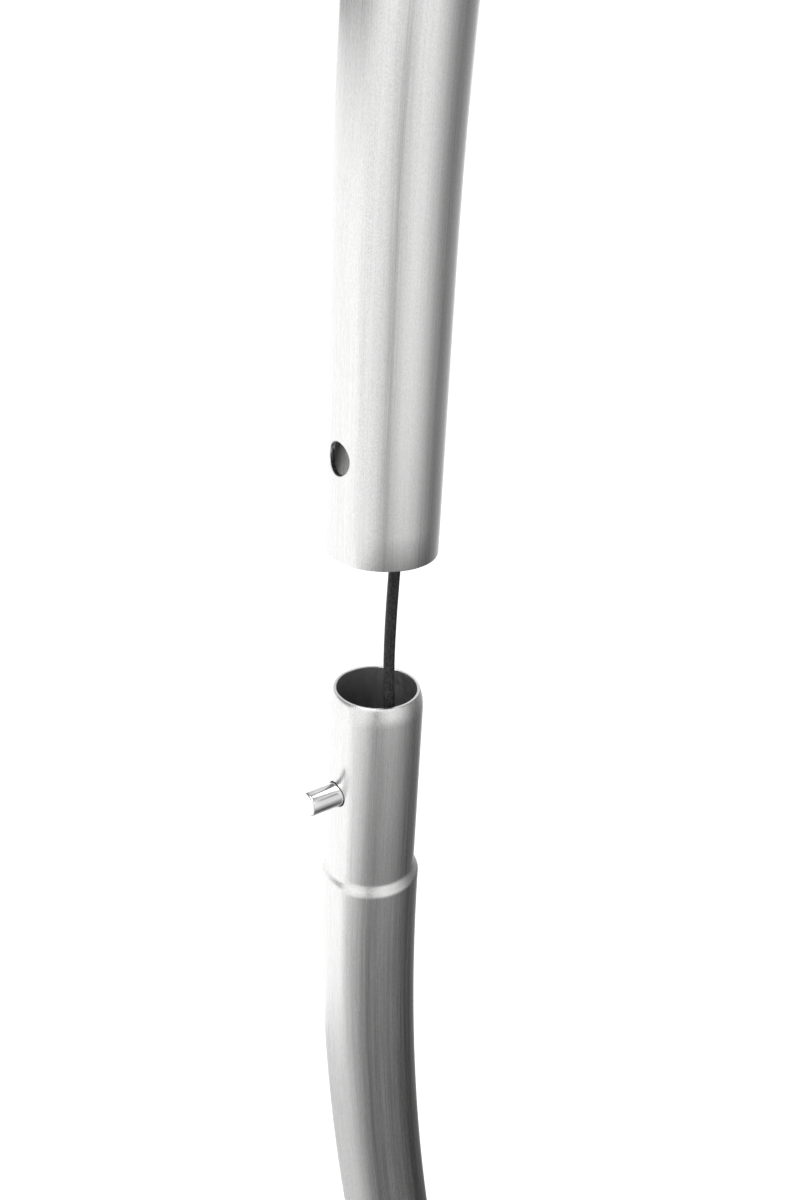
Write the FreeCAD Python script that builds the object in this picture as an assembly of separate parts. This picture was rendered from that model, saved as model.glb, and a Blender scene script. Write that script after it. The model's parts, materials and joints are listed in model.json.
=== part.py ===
"""An arc floor lamp: a weighted round base, a curved pole in three push-together tube sections, and a
spun dome shade on a friction swivel. The lowest pole joint stands pulled apart, with the flex crossing it.

Millimetres. +Z is up and +X runs from the pole towards the shade, so the whole arc lies in the XZ plane.
The origin is the middle of the base, on the floor.
"""

import FreeCAD, Part
import math
import os

V = FreeCAD.Vector
Y_AXIS, Z_AXIS = V(0, 1, 0), V(0, 0, 1)

# Pole tube and its push-together joint
TUBE_R = 12.7
TUBE_WALL = 1.2
BORE_R = TUBE_R - TUBE_WALL
NECK_R = BORE_R - 0.1  # a sliding fit in the next tube's bore
NECK_BORE_R = NECK_R - TUBE_WALL
NECK_LENGTH = 50.5
SHOULDER_LENGTH = 5.0
RIM_R, RIM_BORE_R, RIM_TALL = 10.5, 9.75, 5.0  # the neck draws in to its rim
SLEEVE_LENGTH = 60.0  # the straight end of a tube that takes a neck
PIN_BELOW_RIM = 27.0
PIN_TURN = 225.0  # which way the snap pins point, counted from +X about the tube
PIN_R = 3.0
PIN_STANDS_OUT = 8.0
PIN_HOLE_R = 3.3
BUTTON_HOLE_R = 3.7
JOINT_GAP = 36.0  # how far the lowest joint stands open

# The pole's line: leans are in degrees from upright, towards +X
NECK_X = -203.0
RIM_Z = 580.0
LOWER_BEND_R = 900.0
FOOT_LEAN = -30.0
FOOT_STRAIGHT = 45.0
MIDDLE_BEND_R = 1150.0
MIDDLE_LEAN = 38.0
ARM_BEND_R = 950.0
ARM_LEAN = 100.0

# Base
PAD_R, PAD_TOP = 145.0, 3.0
WEIGHT_R, WEIGHT_TOP = 147.0, 24.7
COVER_R, COVER_TOP, COVER_WALL, COVER_BOTTOM = 150.0, 26.0, 1.2, 1.5
COVER_EDGE_R = 12.0
FLANGE_R, FLANGE_TOP = 35.0, 32.0
BOSS_R = 16.5
SCREW_CIRCLE_R = 27.0
SCREW_ANGLES = (0.0, 120.0, 240.0)

# Flex and lead: the tube's diameter is the flat flex's width
FLEX_R = 2.8
FLEX_BESIDE_SPRING = (5.0, -5.2)  # clear of the snap pin's head when it is pressed in
FLEX_IN_RIM = (3.8, -4.2)
GROMMET_Z = 7.0
COIL_CENTRE = (470.0, 25.0)
COIL_MIDDLE_R, COIL_WIDE, COIL_TALL = 30.0, 11.0, 11.6

# Foot switch and plug
SWITCH_CENTRE, SWITCH_TURN = (262.0, -82.0), 18.0
SWITCH_LONG, SWITCH_WIDE = 80.0, 46.0
SWITCH_SPLIT, SWITCH_TOP = 8.0, 21.0
SWITCH_WALL = 2.2
BUTTON_R, BUTTON_TOP = 14.6, 26.0
PLUG_END, PLUG_TURN = (398.0, 67.0), -8.0
PLUG_FACE, PLUG_THICK, PLUG_WIDE = -56.0, 14.0, 34.0
RELIEF_LONG = 22.0

# Head, downwards from the swivel's axis
SWIVEL_FROM_TUBE = 37.0
BARREL_R, BARREL_HALF = 11.0, 9.0
NECK_END = 26.0
WIRE_STOPS = 13.0  # how far from the swivel's axis each flex ends
NIPPLE_R = 5.0
SHADE_R, SHADE_WALL, SHADE_DROP = 150.0, 1.0, 222.0
HEM = 1.2
CUP_R, CUP_TOP = 29.0, 28.0
SHADE_HOLE_R = CUP_R + 0.05
BULB_DROP = 137.0
HOLDER_TOP, HOLDER_SPLIT, HOLDER_END = -36.0, -52.0, -92.0
HOLDER_R = 19.5


# ---- small builders ----


def outline(start, *steps):
    """A face in the XZ plane. A step is an end point (x, z), or a pair (middle, end) for an arc."""
    at, edges = V(start[0], 0, start[1]), []
    for step in steps + (start,):
        if isinstance(step[0], tuple):
            middle, end = (V(x, 0, z) for x, z in step)
            edges.append(Part.Arc(at, middle, end).toShape())
        else:
            end = V(step[0], 0, step[1])
            if (end - at).Length > 1e-6:
                edges.append(Part.LineSegment(at, end).toShape())
        at = end
    return Part.Face(Part.Wire(edges))


def turned(start, *steps):
    """The solid that an outline of (radius, z) makes about the Z axis."""
    return outline(start, *steps).revolve(V(), Z_AXIS, 360)


def round_bar(radius, low, high, x=0.0, y=0.0):
    return Part.makeCylinder(radius, high - low, V(x, y, low))


def pipe(radius, bore, low, high):
    return round_bar(radius, low, high).cut(round_bar(bore, low - 1, high + 1))


def ring(radius, bore):
    """A flat ring in the XY plane, or a disc if its bore is 0."""
    face = Part.Face(Part.Wire(Part.makeCircle(radius)))
    if bore:
        face = face.cut(Part.Face(Part.Wire(Part.makeCircle(bore)))).Faces[0]
    return face


def slab(long, wide, low, high, corner):
    """A plate with rounded upright corners, centred on Z."""
    body = Part.makeBox(long, wide, high - low, V(-long / 2, -wide / 2, low))
    upright = [e for e in body.Edges if abs(e.tangentAt(e.FirstParameter).z) > 0.9]
    return body.makeFillet(corner, upright)


def edges_at(body, height):
    """The edges that lie flat at a height."""
    return [e for e in body.Edges if abs(e.BoundBox.ZMin - height) + abs(e.BoundBox.ZMax - height) < 1e-3]


def hexagon(across, low, high):
    reach = across / math.sqrt(3)
    turns = [math.radians(degrees) for degrees in range(0, 361, 60)]
    corners = [V(reach * math.cos(turn), reach * math.sin(turn), low) for turn in turns]
    return Part.Face(Part.makePolygon(corners)).extrude(V(0, 0, high - low))


def placed(shape, place, lean=0.0, turn=0.0):
    """A copy, turned about Z, then leant from upright towards +X, then moved."""
    made = shape.copy()
    made.rotate(V(), Z_AXIS, turn)
    made.rotate(V(), Y_AXIS, lean)
    made.translate(place)
    return made


def toward(lean, distance):
    """The step along a tube of that lean."""
    return V(math.sin(math.radians(lean)), 0, math.cos(math.radians(lean))) * distance


def leant(point, lean):
    """A point turned from upright towards +X, about the origin."""
    c, s = math.cos(math.radians(lean)), math.sin(math.radians(lean))
    return V(point.x * c + point.z * s, point.y, point.z * c - point.x * s)


def bend_centre(place, lean, radius):
    return place + leant(V(radius, 0, 0), lean)


def bend_end(place, lean, new_lean, radius):
    """Where a bend ends that starts at a place, with its hollow side towards +X."""
    return bend_centre(place, lean, radius) - bend_centre(V(), new_lean, radius)


def bent(section, place, lean, new_lean, radius):
    """A section of the XY plane swept round a bend."""
    face = placed(section, place, lean)
    return face.revolve(bend_centre(place, lean, radius), Y_AXIS, new_lean - lean)


def straight(section, place, lean, length):
    return placed(section, place, lean).extrude(toward(lean, length))


def joined(first, *others):
    return first.fuse(list(others)).removeSplitter()


def along(points, radius):
    """A round bar along straight runs and tangent arcs, and the arcs' radii."""
    points = [V(*p) for p in points]
    edges, radii, at = [], [], points[0]
    for before, corner, after in zip(points, points[1:], points[2:]):
        back, on = (before - corner), (after - corner)
        half = (math.pi - back.getAngle(on)) / 2
        short = min(back.Length, on.Length)
        cut = 0.45 * short
        radii.append(cut / math.tan(half))
        start, end = corner + back.normalize() * cut, corner + on.normalize() * cut
        inward = (back + on).normalize()
        middle = corner + inward * (radii[-1] / math.cos(half) - radii[-1])
        edges.append(Part.LineSegment(at, start).toShape())
        edges.append(Part.Arc(start, middle, end).toShape())
        at = end
    edges.append(Part.LineSegment(at, points[-1]).toShape())
    wire = Part.Wire(edges)
    end_face = Part.Face(Part.Wire(Part.makeCircle(radius, points[0], points[1] - points[0])))
    body = wire.makePipe(end_face)
    print(f"  cord: {wire.Length:.0f} mm, arc radii {[round(r) for r in radii]}, "
          f"volume is {body.Volume / (math.pi * radius**2 * wire.Length):.3f} of section times length")
    return body


# ---- where the pole's sections lie ----

SHOULDER = V(NECK_X, 0, RIM_Z - NECK_LENGTH - SHOULDER_LENGTH)
FOOT_TOP = bend_end(SHOULDER, 0, FOOT_LEAN, LOWER_BEND_R)
FOOT_END = FOOT_TOP - toward(FOOT_LEAN, FOOT_STRAIGHT)
LOWER_RIM = V(NECK_X, 0, RIM_Z)
MIDDLE_MOUTH = V(NECK_X, 0, RIM_Z + JOINT_GAP)
MIDDLE_BEND = MIDDLE_MOUTH + toward(0, SLEEVE_LENGTH)
MIDDLE_TOP = bend_end(MIDDLE_BEND, 0, MIDDLE_LEAN, MIDDLE_BEND_R)
ARM_MOUTH = MIDDLE_TOP + toward(MIDDLE_LEAN, SHOULDER_LENGTH)
UPPER_RIM = ARM_MOUTH + toward(MIDDLE_LEAN, NECK_LENGTH)
ARM_BEND = ARM_MOUTH + toward(MIDDLE_LEAN, SLEEVE_LENGTH)
ARM_END = bend_end(ARM_BEND, MIDDLE_LEAN, ARM_LEAN, ARM_BEND_R)
PIVOT = ARM_END + toward(ARM_LEAN, SWIVEL_FROM_TUBE)
FLEX_HOLE_X = FOOT_END.x + 3.0


# ---- base ----


def floor_pad():
    return turned((0, 0), (PAD_R - 1, 0), (PAD_R, 1), (PAD_R, PAD_TOP), (0, PAD_TOP))


def rounded_disc(radius, top, bottom, edge_r):
    """A disc whose upper edge is a quarter round."""
    bow = edge_r * (1 - math.sqrt(0.5))
    arc = ((radius - bow, top - bow), (radius - edge_r, top))
    return turned((0, bottom), (radius, bottom), (radius, top - edge_r), arc, (0, top))


def flex_hole(radius, low, high):
    return round_bar(radius, low, high, FLEX_HOLE_X)


def around_flange(radius, low, high):
    """Three round bars on the circle of the base's screws."""
    made = []
    for angle in SCREW_ANGLES:
        x = FLEX_HOLE_X + SCREW_CIRCLE_R * math.cos(math.radians(angle))
        y = SCREW_CIRCLE_R * math.sin(math.radians(angle))
        made.append(round_bar(radius, low, high, x, y))
    return made


def rear_slot(wide, low, high):
    """A channel from the flex's hole out to the back edge."""
    return Part.makeBox(FLEX_HOLE_X + COVER_R + 5, wide, high - low, V(-COVER_R - 5, -wide / 2, low))


CLAMP_X, CLAMP_LONG, CLAMP_WIDE, CLAMP_THICK = -118.0, 12.0, 30.0, 1.2
CLAMP_SCREW_Y = 10.0


def clamp_plate(room):
    """The strap's plate, or with some room round it, its pocket in the weight."""
    body = slab(CLAMP_LONG + 2 * room, CLAMP_WIDE + 2 * room, PAD_TOP, PAD_TOP + CLAMP_THICK + room, 2)
    return placed(body, V(CLAMP_X, 0, 0))


def clamp_screw_bars(head, shank, tip):
    """Two countersunk screws up into the weight, or the holes for them."""
    low, neck = PAD_TOP + 0.1, PAD_TOP + CLAMP_THICK
    made = []
    for y in (-CLAMP_SCREW_Y, CLAMP_SCREW_Y):
        body = turned((0, low), (head, low), (shank, neck), (shank, tip), (0, tip))
        made.append(placed(body, V(CLAMP_X, y, 0)))
    return made


def base_weight():
    edge_r = COVER_EDGE_R - COVER_WALL
    body = rounded_disc(WEIGHT_R, WEIGHT_TOP, PAD_TOP, edge_r)
    screws = around_flange(2.8, 0, 40) + around_flange(5.2, 0, 9.2)
    gland_pocket = Part.makeBox(12, 9.4, 12, V(-WEIGHT_R - 9, -4.7, 0))
    hollows = [flex_hole(10, 0, 40), rear_slot(8, 0, 10.5), gland_pocket, clamp_plate(0.3)]
    return body.cut(hollows + screws + clamp_screw_bars(1.6, 1.6, 14))


def base_cover():
    body = rounded_disc(COVER_R, COVER_TOP, COVER_BOTTOM, COVER_EDGE_R)
    inside = rounded_disc(
        COVER_R - COVER_WALL, COVER_TOP - COVER_WALL, 0, COVER_EDGE_R - COVER_WALL
    )
    notch = Part.makeBox(12, 9, 11.5, V(-COVER_R - 6, -4.5, 0))
    return body.cut([inside, notch, flex_hole(8, 0, 40)] + around_flange(2.8, 0, 40))


def cord_clamp():
    """The strap that holds the flex up in the weight's channel."""
    return clamp_plate(0).cut(clamp_screw_bars(3.1, 1.8, 20) + clamp_screw_mouths())


def clamp_screw_mouths():
    return [round_bar(3.1, 0, PAD_TOP + 0.1, CLAMP_X, y) for y in (-CLAMP_SCREW_Y, CLAMP_SCREW_Y)]


def clamp_screws():
    return Part.makeCompound(clamp_screw_bars(2.8, 1.6, 13))


def base_screws():
    """Three cap screws, up through the weight and the cover into the socket's flange."""
    made = []
    for shank, head, key in zip(
        around_flange(2.5, 8.9, 30), around_flange(4.6, 4.2, 9.0), around_flange(2.2, 4.0, 6.4)
    ):
        made.append(shank.fuse(head).cut(key).removeSplitter())
    return Part.makeCompound(made)


def pole_socket():
    """A turned flange with a leaning cup, which the pole's foot stands in."""
    flange = turned(
        (0, COVER_TOP),
        (FLANGE_R, COVER_TOP),
        (FLANGE_R, FLANGE_TOP - 2.5),
        ((FLANGE_R - 0.73, FLANGE_TOP - 0.73), (FLANGE_R - 2.5, FLANGE_TOP)),
        (0, FLANGE_TOP),
    )
    flange.translate(V(FLEX_HOLE_X, 0, 0))
    boss_top = 40.0
    boss = turned(
        (0, -30), (BOSS_R, -30), (BOSS_R, boss_top - 1.2), (BOSS_R - 1.2, boss_top), (0, boss_top)
    )
    boss = placed(boss, FOOT_END, FOOT_LEAN)
    below = Part.makeBox(200, 200, 100, V(FLEX_HOLE_X - 100, -100, COVER_TOP - 100))
    bore = placed(round_bar(TUBE_R + 0.1, 0, 60), FOOT_END, FOOT_LEAN)
    body = flange.fuse(boss.cut(below))
    grubs = [placed(g, FOOT_END, FOOT_LEAN) for g in grub_bars(2.5)]
    return body.cut([bore, flex_hole(6, 0, 42)] + around_flange(2.5, 0, 30) + grubs).removeSplitter()


def grub_bars(radius):
    """Two bars across the cup's wall, in the pole foot's own frame."""
    made = []
    for side in (-1, 1):
        bar = round_bar(radius, TUBE_R + 0.02, BOSS_R - 0.3)
        bar.rotate(V(), V(1, 0, 0), 90 * side)
        bar.translate(V(0, 0, 24))
        made.append(bar)
    return made


def socket_grub_screws():
    made = []
    for bar, side in zip(grub_bars(2.5), (-1, 1)):
        key = hexagon(2.5, BOSS_R - 2.3, BOSS_R)
        key.rotate(V(), V(1, 0, 0), 90 * side)
        key.translate(V(0, 0, 24))
        made.append(placed(bar.cut(key), FOOT_END, FOOT_LEAN))
    return Part.makeCompound(made)


def relief(big, small, long):
    """A ribbed, tapered sleeve on the flex, from its root at the origin out along +Z."""
    rib, gap = long / 8, 0.5
    steps = [(big, 0)]
    for i in range(6):
        low = 1.2 * rib + i * rib
        r = big + (small - big) * low / long
        steps += [(r, low), (r - gap, low + 0.1), (r - gap, low + 0.45 * rib), (r, low + 0.5 * rib)]
    steps += [(small, long), (FLEX_R + 0.02, long), (FLEX_R + 0.02, 0)]
    return turned(*steps)


def cord_grommet():
    """The gland in the cover's back notch, and the ribbed relief outside it."""
    outer_disc = rounded_disc(COVER_R, COVER_TOP, 0, COVER_EDGE_R)
    inner_disc = round_bar(COVER_R - COVER_WALL, 0, COVER_TOP)
    back = V(-COVER_R, 0, GROMMET_Z)
    waist = Part.makeBox(12, 8.6, 11.3, V(-COVER_R - 6, -4.3, 0)).common(outer_disc).cut(inner_disc)
    inside = placed(slab(5, 8.6, GROMMET_Z - 4.1, GROMMET_Z + 4.1, 1.0), V(1.6 - COVER_R, 0, 0))
    inside = inside.common(inner_disc)
    lip = placed(turned((0, -1), (5.4, -1), (5.4, 2), (4.6, 3.2), (0, 3.2)), back, -90).cut(outer_disc)
    sleeve = placed(relief(4.6, 3.5, 25), back - V(3, 0, 0), -90)
    hole = placed(round_bar(FLEX_R + 0.02, -10, 40), back, -90)
    waist = waist.common(round_bar(400, GROMMET_Z - 4.1, GROMMET_Z + 4.1))
    return inside.fuse([waist, lip, sleeve]).cut(hole).removeSplitter()


# ---- pole ----


def rim_taper(big, small):
    """The middle of the arc by which the neck draws in to its rim, starting upright."""
    tall, step = RIM_TALL - 0.15, big - small
    radius = (tall**2 + step**2) / (2 * step)
    half = math.asin(tall / radius) / 2
    return (big - radius * (1 - math.cos(half)), radius * math.sin(half) - RIM_TALL)


def neck():
    """A swaged tube end: the shoulder, the neck and its rolled rim, with the rim at the origin."""
    low = -NECK_LENGTH - SHOULDER_LENGTH

    def shoulder(big, small, rising):
        """The two arcs from the full tube to the neck, or back down."""
        step = big - small
        radius = (SHOULDER_LENGTH**2 + step**2) / (4 * step)
        turn = math.asin(SHOULDER_LENGTH / 2 / radius) / 2
        in_x, in_z = radius * (1 - math.cos(turn)), radius * math.sin(turn)
        half = ((big + small) / 2, low + SHOULDER_LENGTH / 2)
        first = ((big - in_x, low + in_z), half)
        second = ((small + in_x, -NECK_LENGTH - in_z), (small, -NECK_LENGTH))
        if rising:
            return [first, second]
        return [(second[0], half), (first[0], (big, low))]

    rim_bow = rim_taper(NECK_R, RIM_R)
    return turned(
        (TUBE_R, low),
        *shoulder(TUBE_R, NECK_R, True),
        (NECK_R, -RIM_TALL),
        (rim_bow, (RIM_R, -0.15)),
        (RIM_R - 0.15, 0),
        (RIM_BORE_R + 0.1, 0),
        (RIM_BORE_R, -0.1),
        (RIM_BORE_R, -0.8),
        (NECK_BORE_R, -RIM_TALL),
        (NECK_BORE_R, -NECK_LENGTH),
        *shoulder(BORE_R, NECK_BORE_R, False),
    )


def sleeve():
    """The straight open end that slides over a neck, with its mouth at the origin."""
    body = turned(
        (BORE_R + 0.3, 0),
        (TUBE_R - 0.35, 0),
        (TUBE_R, 0.35),
        (TUBE_R, SLEEVE_LENGTH),
        (BORE_R, SLEEVE_LENGTH),
        (BORE_R, 0.3),
    )
    return body.cut(toward_pin(BUTTON_HOLE_R, NECK_LENGTH - PIN_BELOW_RIM))


def toward_pin(radius, height):
    """A bar from the tube's axis out through its wall on the snap pin's side."""
    bar = placed(round_bar(radius, 4, 30), V(), 90)
    return placed(bar, V(0, 0, height), 0, PIN_TURN)


def lower_pole():
    section = ring(TUBE_R, BORE_R)
    foot = straight(section, FOOT_END, FOOT_LEAN, FOOT_STRAIGHT)
    bend = bent(section, FOOT_TOP, FOOT_LEAN, 0, LOWER_BEND_R)
    top = placed(neck().cut(toward_pin(PIN_HOLE_R, -PIN_BELOW_RIM)), LOWER_RIM)
    return joined(foot, bend, top)


def middle_pole():
    bend = bent(ring(TUBE_R, BORE_R), MIDDLE_BEND, 0, MIDDLE_LEAN, MIDDLE_BEND_R)
    top = neck().cut(toward_pin(PIN_HOLE_R, -PIN_BELOW_RIM))
    return joined(placed(sleeve(), MIDDLE_MOUTH), bend, placed(top, UPPER_RIM, MIDDLE_LEAN))


def arm_tube():
    bend = bent(ring(TUBE_R, BORE_R), ARM_BEND, MIDDLE_LEAN, ARM_LEAN, ARM_BEND_R)
    return joined(placed(sleeve(), ARM_MOUTH, MIDDLE_LEAN), bend)


def snap_spring():
    """A U of spring strip inside the neck. One leg carries the pin and the other bears on the far wall."""
    strip, wide = 0.6, 5.0
    pin_leg, far_leg, fold = 8.2, -9.8, -46.0
    mid, outer = (pin_leg + far_leg) / 2, (pin_leg - far_leg) / 2
    profile = outline(
        (pin_leg, -12),
        (pin_leg, fold),
        ((mid, fold - outer), (far_leg, fold)),
        (far_leg, -20),
        (far_leg + strip, -20),
        (far_leg + strip, fold),
        ((mid, fold - outer + strip), (pin_leg - strip, fold)),
        (pin_leg - strip, -12),
    )
    profile.translate(V(0, -wide / 2, 0))
    return placed(profile.extrude(V(0, wide, 0)), V(), 0, PIN_TURN)


def snap_pin():
    """The headed pin, which the spring pushes out through the neck's hole."""
    tip = NECK_R + PIN_STANDS_OUT
    body = turned(
        (0, 8.2),
        (4.0, 8.2),
        (4.0, 9.0),
        (PIN_R, 9.0),
        (PIN_R, tip - 0.7),
        ((PIN_R - 0.2, tip - 0.2), (PIN_R - 0.7, tip)),
        (0, tip),
    )
    body = placed(body, V(), 90)
    return placed(body, V(0, 0, -PIN_BELOW_RIM), 0, PIN_TURN)


# ---- flex inside the pole ----

FLEX_SECTION_TURN = 4.0  # the lower flex ends this far round the bend below the shoulder
ARM_FLEX_START = 5.0


def flex_bend(place, lean, new_lean, radius):
    return bent(ring(FLEX_R, 0), place, lean, new_lean, radius)


LOWER_FLEX_END = bend_end(SHOULDER, 0, -FLEX_SECTION_TURN, LOWER_BEND_R)
MIDDLE_FLEX_START = MIDDLE_BEND - toward(0, 2)
MIDDLE_FLEX_LEAN = MIDDLE_LEAN - 4
MIDDLE_FLEX_END = bend_end(MIDDLE_BEND, 0, MIDDLE_FLEX_LEAN, MIDDLE_BEND_R)
ARM_FLEX_END = ARM_END + toward(ARM_LEAN, SWIVEL_FROM_TUBE - WIRE_STOPS)


def lower_flex():
    """From the gland, through the weight's channel and up inside the lower pole."""
    elbow = 9.0
    channel = placed(round_bar(FLEX_R, 0, FLEX_HOLE_X - elbow + COVER_R), V(-COVER_R, 0, GROMMET_Z), 90)
    turn = placed(ring(FLEX_R, 0), V(FLEX_HOLE_X - elbow, 0, GROMMET_Z), 90)
    turn = turn.revolve(V(FLEX_HOLE_X - elbow, 0, GROMMET_Z + elbow), Y_AXIS, -90)
    low = V(FLEX_HOLE_X, 0, GROMMET_Z + elbow)
    ease = 40.0
    start = upright_end(low, ease)
    bend_about = start - V(ease, 0, 0)
    rise = straight(ring(FLEX_R, 0), low, 0, start.z - low.z)
    lean = placed(ring(FLEX_R, 0), start).revolve(bend_about, Y_AXIS, FOOT_LEAN)
    on_axis = bend_about + leant(V(ease, 0, 0), FOOT_LEAN)
    foot = straight(ring(FLEX_R, 0), on_axis, FOOT_LEAN, (FOOT_TOP - on_axis).Length)
    bend = flex_bend(FOOT_TOP, FOOT_LEAN, -FLEX_SECTION_TURN, LOWER_BEND_R)
    return joined(channel, turn, rise, lean, foot, bend)


def upright_end(low, ease):
    """Where the flex leaves the upright, to meet the pole foot's axis after an easy bend."""
    crossing = FOOT_END.z - (low.x - FOOT_END.x) / math.tan(math.radians(-FOOT_LEAN))
    return V(low.x, 0, crossing - ease * math.tan(math.radians(-FOOT_LEAN / 2)))


def gap_flex():
    """Across the open joint: past the snap spring, through the air and into the middle pole."""
    x, y = FLEX_BESIDE_SPRING
    points = [
        LOWER_FLEX_END,
        LOWER_FLEX_END + toward(-FLEX_SECTION_TURN, 22),
        V(NECK_X + 0.7 * x, 0.7 * y, RIM_Z - 80),
        V(NECK_X + x, y, RIM_Z - 58),
        V(NECK_X + x, y, RIM_Z - 16),
        V(NECK_X + FLEX_IN_RIM[0], FLEX_IN_RIM[1], RIM_Z + 2),
        V(NECK_X + 3.7, -1.3, RIM_Z + JOINT_GAP + 8),
        MIDDLE_FLEX_START - V(0, 0, 26),
        MIDDLE_FLEX_START,
    ]
    return along([tuple(p) for p in points], FLEX_R)


def middle_flex():
    first = straight(ring(FLEX_R, 0), MIDDLE_FLEX_START, 0, (MIDDLE_BEND - MIDDLE_FLEX_START).Length)
    return joined(first, flex_bend(MIDDLE_BEND, 0, MIDDLE_FLEX_LEAN, MIDDLE_BEND_R))


def joint_flex():
    """Past the snap spring of the closed joint, in that joint's frame."""
    x, y = FLEX_BESIDE_SPRING
    beside = [(0.8 * x, 0.8 * y, 8), (x, y, -16), (x, y, -58), (0.6 * x, 0.6 * y, -86)]
    in_joint = [UPPER_RIM + leant(V(*p), MIDDLE_LEAN) for p in beside]
    start = bend_end(ARM_BEND, MIDDLE_LEAN, MIDDLE_LEAN + ARM_FLEX_START, ARM_BEND_R)
    points = [start, start - toward(MIDDLE_LEAN + ARM_FLEX_START, 26)] + in_joint
    points += [MIDDLE_FLEX_END + toward(MIDDLE_FLEX_LEAN, 22), MIDDLE_FLEX_END]
    return along([tuple(p) for p in points], FLEX_R)


def arm_flex():
    start = bend_end(ARM_BEND, MIDDLE_LEAN, MIDDLE_LEAN + ARM_FLEX_START, ARM_BEND_R)
    bend = flex_bend(start, MIDDLE_LEAN + ARM_FLEX_START, ARM_LEAN, ARM_BEND_R)
    return joined(bend, straight(ring(FLEX_R, 0), ARM_END, ARM_LEAN, (ARM_FLEX_END - ARM_END).Length))


# ---- swivel ----


def arm_end_plug():
    """Pressed into the arm's end, with a tapped nose for the threaded tube."""
    body = turned(
        (0, -12), (BORE_R - 1, -12), (BORE_R - 0.15, -11), (BORE_R - 0.15, 0), (TUBE_R, 0), (TUBE_R, 3),
        ((TUBE_R - 1.6, 7), (8.0, 9.5)), (8.0, 11), (0, 11),
    )
    return placed(body.cut(round_bar(NIPPLE_R, -20, 20)), ARM_END, ARM_LEAN)


def threaded_tube(length):
    """A thin tube with thread grooves at each end, from the origin up."""
    steps = [(3.3, 0), (NIPPLE_R - 0.5, 0)]
    pitch = 1.5
    for i in range(int(length / pitch) - 1):
        z = 0.5 + i * pitch
        steps += [(NIPPLE_R - 0.45, z), (NIPPLE_R, z + 0.55), (NIPPLE_R, z + 0.85)]
    steps += [(NIPPLE_R - 0.5, length), (3.3, length)]
    return turned(*steps)


def swivel_half(side):
    """One hollow half of the swivel: a cup on the Y axis, and a neck down to a tapped end."""
    cup = turned(
        (0, 0.5),
        (BARREL_R, 0.5),
        (BARREL_R, BARREL_HALF - 1.5),
        (BARREL_R - 1.5, BARREL_HALF),
        (0, BARREL_HALF),
    )
    hollow = round_bar(8.5, 0, BARREL_HALF - 2)
    bolt = round_bar(2.1, 0, 20)
    for bar in (cup, hollow, bolt):
        bar.rotate(V(), V(1, 0, 0), -90 * side)
    near = BARREL_R + 1.3
    stem = round_bar(7.5, -NECK_END, -near)
    web = round_bar(7.5, -near, -6)
    web = web.common(Part.makeBox(40, 20, 40, V(-20, 0.5 if side > 0 else -20.5, -30)))
    body = stem.fuse([web, cup])
    wire = round_bar(3.2, -NECK_END, -6)
    return body.cut([hollow, bolt, wire, round_bar(NIPPLE_R, -NECK_END, -16)]).removeSplitter()


def swivel_arm_half():
    return placed(swivel_half(1), PIVOT, ARM_LEAN)


def swivel_head_half():
    return placed(swivel_half(-1), PIVOT)


def across_pivot(shape):
    """Something turned about Z, laid along +Y through the swivel's axis."""
    made = shape.copy()
    made.rotate(V(), V(1, 0, 0), -90)
    made.translate(PIVOT)
    return made


def swivel_bolt():
    body = turned(
        (0, -13.5), (2, -13.5), (2, BARREL_HALF), (4.6, BARREL_HALF), (4.6, BARREL_HALF + 1.4),
        ((2.6, BARREL_HALF + 2.5), (0, BARREL_HALF + 2.9)),
    )
    slot = Part.makeBox(12, 1.0, 2, V(-6, -0.5, BARREL_HALF + 1.6))
    return across_pivot(body.cut(slot))


def swivel_knob():
    """A knurled nut that sets the swivel's friction."""
    body = turned(
        (2.02, -16.5), (6.6, -16.5), (7.6, -15.5), (7.6, -11.5), (6.6, -10.5), (4.5, -9.8),
        (4.5, -9.2), (2.02, -9.2),
    )
    grooves = []
    for i in range(18):
        bar = round_bar(0.55, -17, -10)
        bar.translate(V(7.75, 0, 0))
        bar.rotate(V(), Z_AXIS, i * 20)
        grooves.append(bar)
    return across_pivot(body.cut(grooves))


def swivel_washer():
    return across_pivot(pipe(BARREL_R - 0.4, 8.7, -0.4, 0.4))


def arm_nipple():
    return placed(threaded_tube(20), ARM_END + toward(ARM_LEAN, 1), ARM_LEAN)


# ---- head, in the swivel's frame, hanging down ----


def head_nipple():
    return placed(threaded_tube(30), PIVOT - V(0, 0, 47))


def shade_washer():
    body = turned(
        (NIPPLE_R + 0.1, -CUP_TOP),
        (17, -CUP_TOP),
        (17, -CUP_TOP + 0.6),
        (13, -NECK_END),
        (NIPPLE_R + 0.1, -NECK_END),
    )
    return placed(body, PIVOT)


def dome_meets(radius):
    """The height at which a skin of the dome reaches the hole for the cup."""
    return math.sqrt(radius**2 - SHADE_HOLE_R**2) - SHADE_DROP


def shade():
    """A spun dome with a turned-in hem and a hole at its top for the cup."""
    rim_z, inner_r = -SHADE_DROP, SHADE_R - SHADE_WALL

    def half_way(radius):
        angle = math.acos(SHADE_HOLE_R / radius) / 2
        return (radius * math.cos(angle), rim_z + radius * math.sin(angle))

    body = turned(
        (inner_r - 2, rim_z),
        (SHADE_R, rim_z),
        (half_way(SHADE_R), (SHADE_HOLE_R, dome_meets(SHADE_R))),
        (SHADE_HOLE_R, dome_meets(inner_r)),
        (half_way(inner_r), (math.sqrt(inner_r**2 - HEM**2), rim_z + HEM)),
        (inner_r - 2, rim_z + HEM),
    )
    return placed(body, PIVOT)


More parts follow.
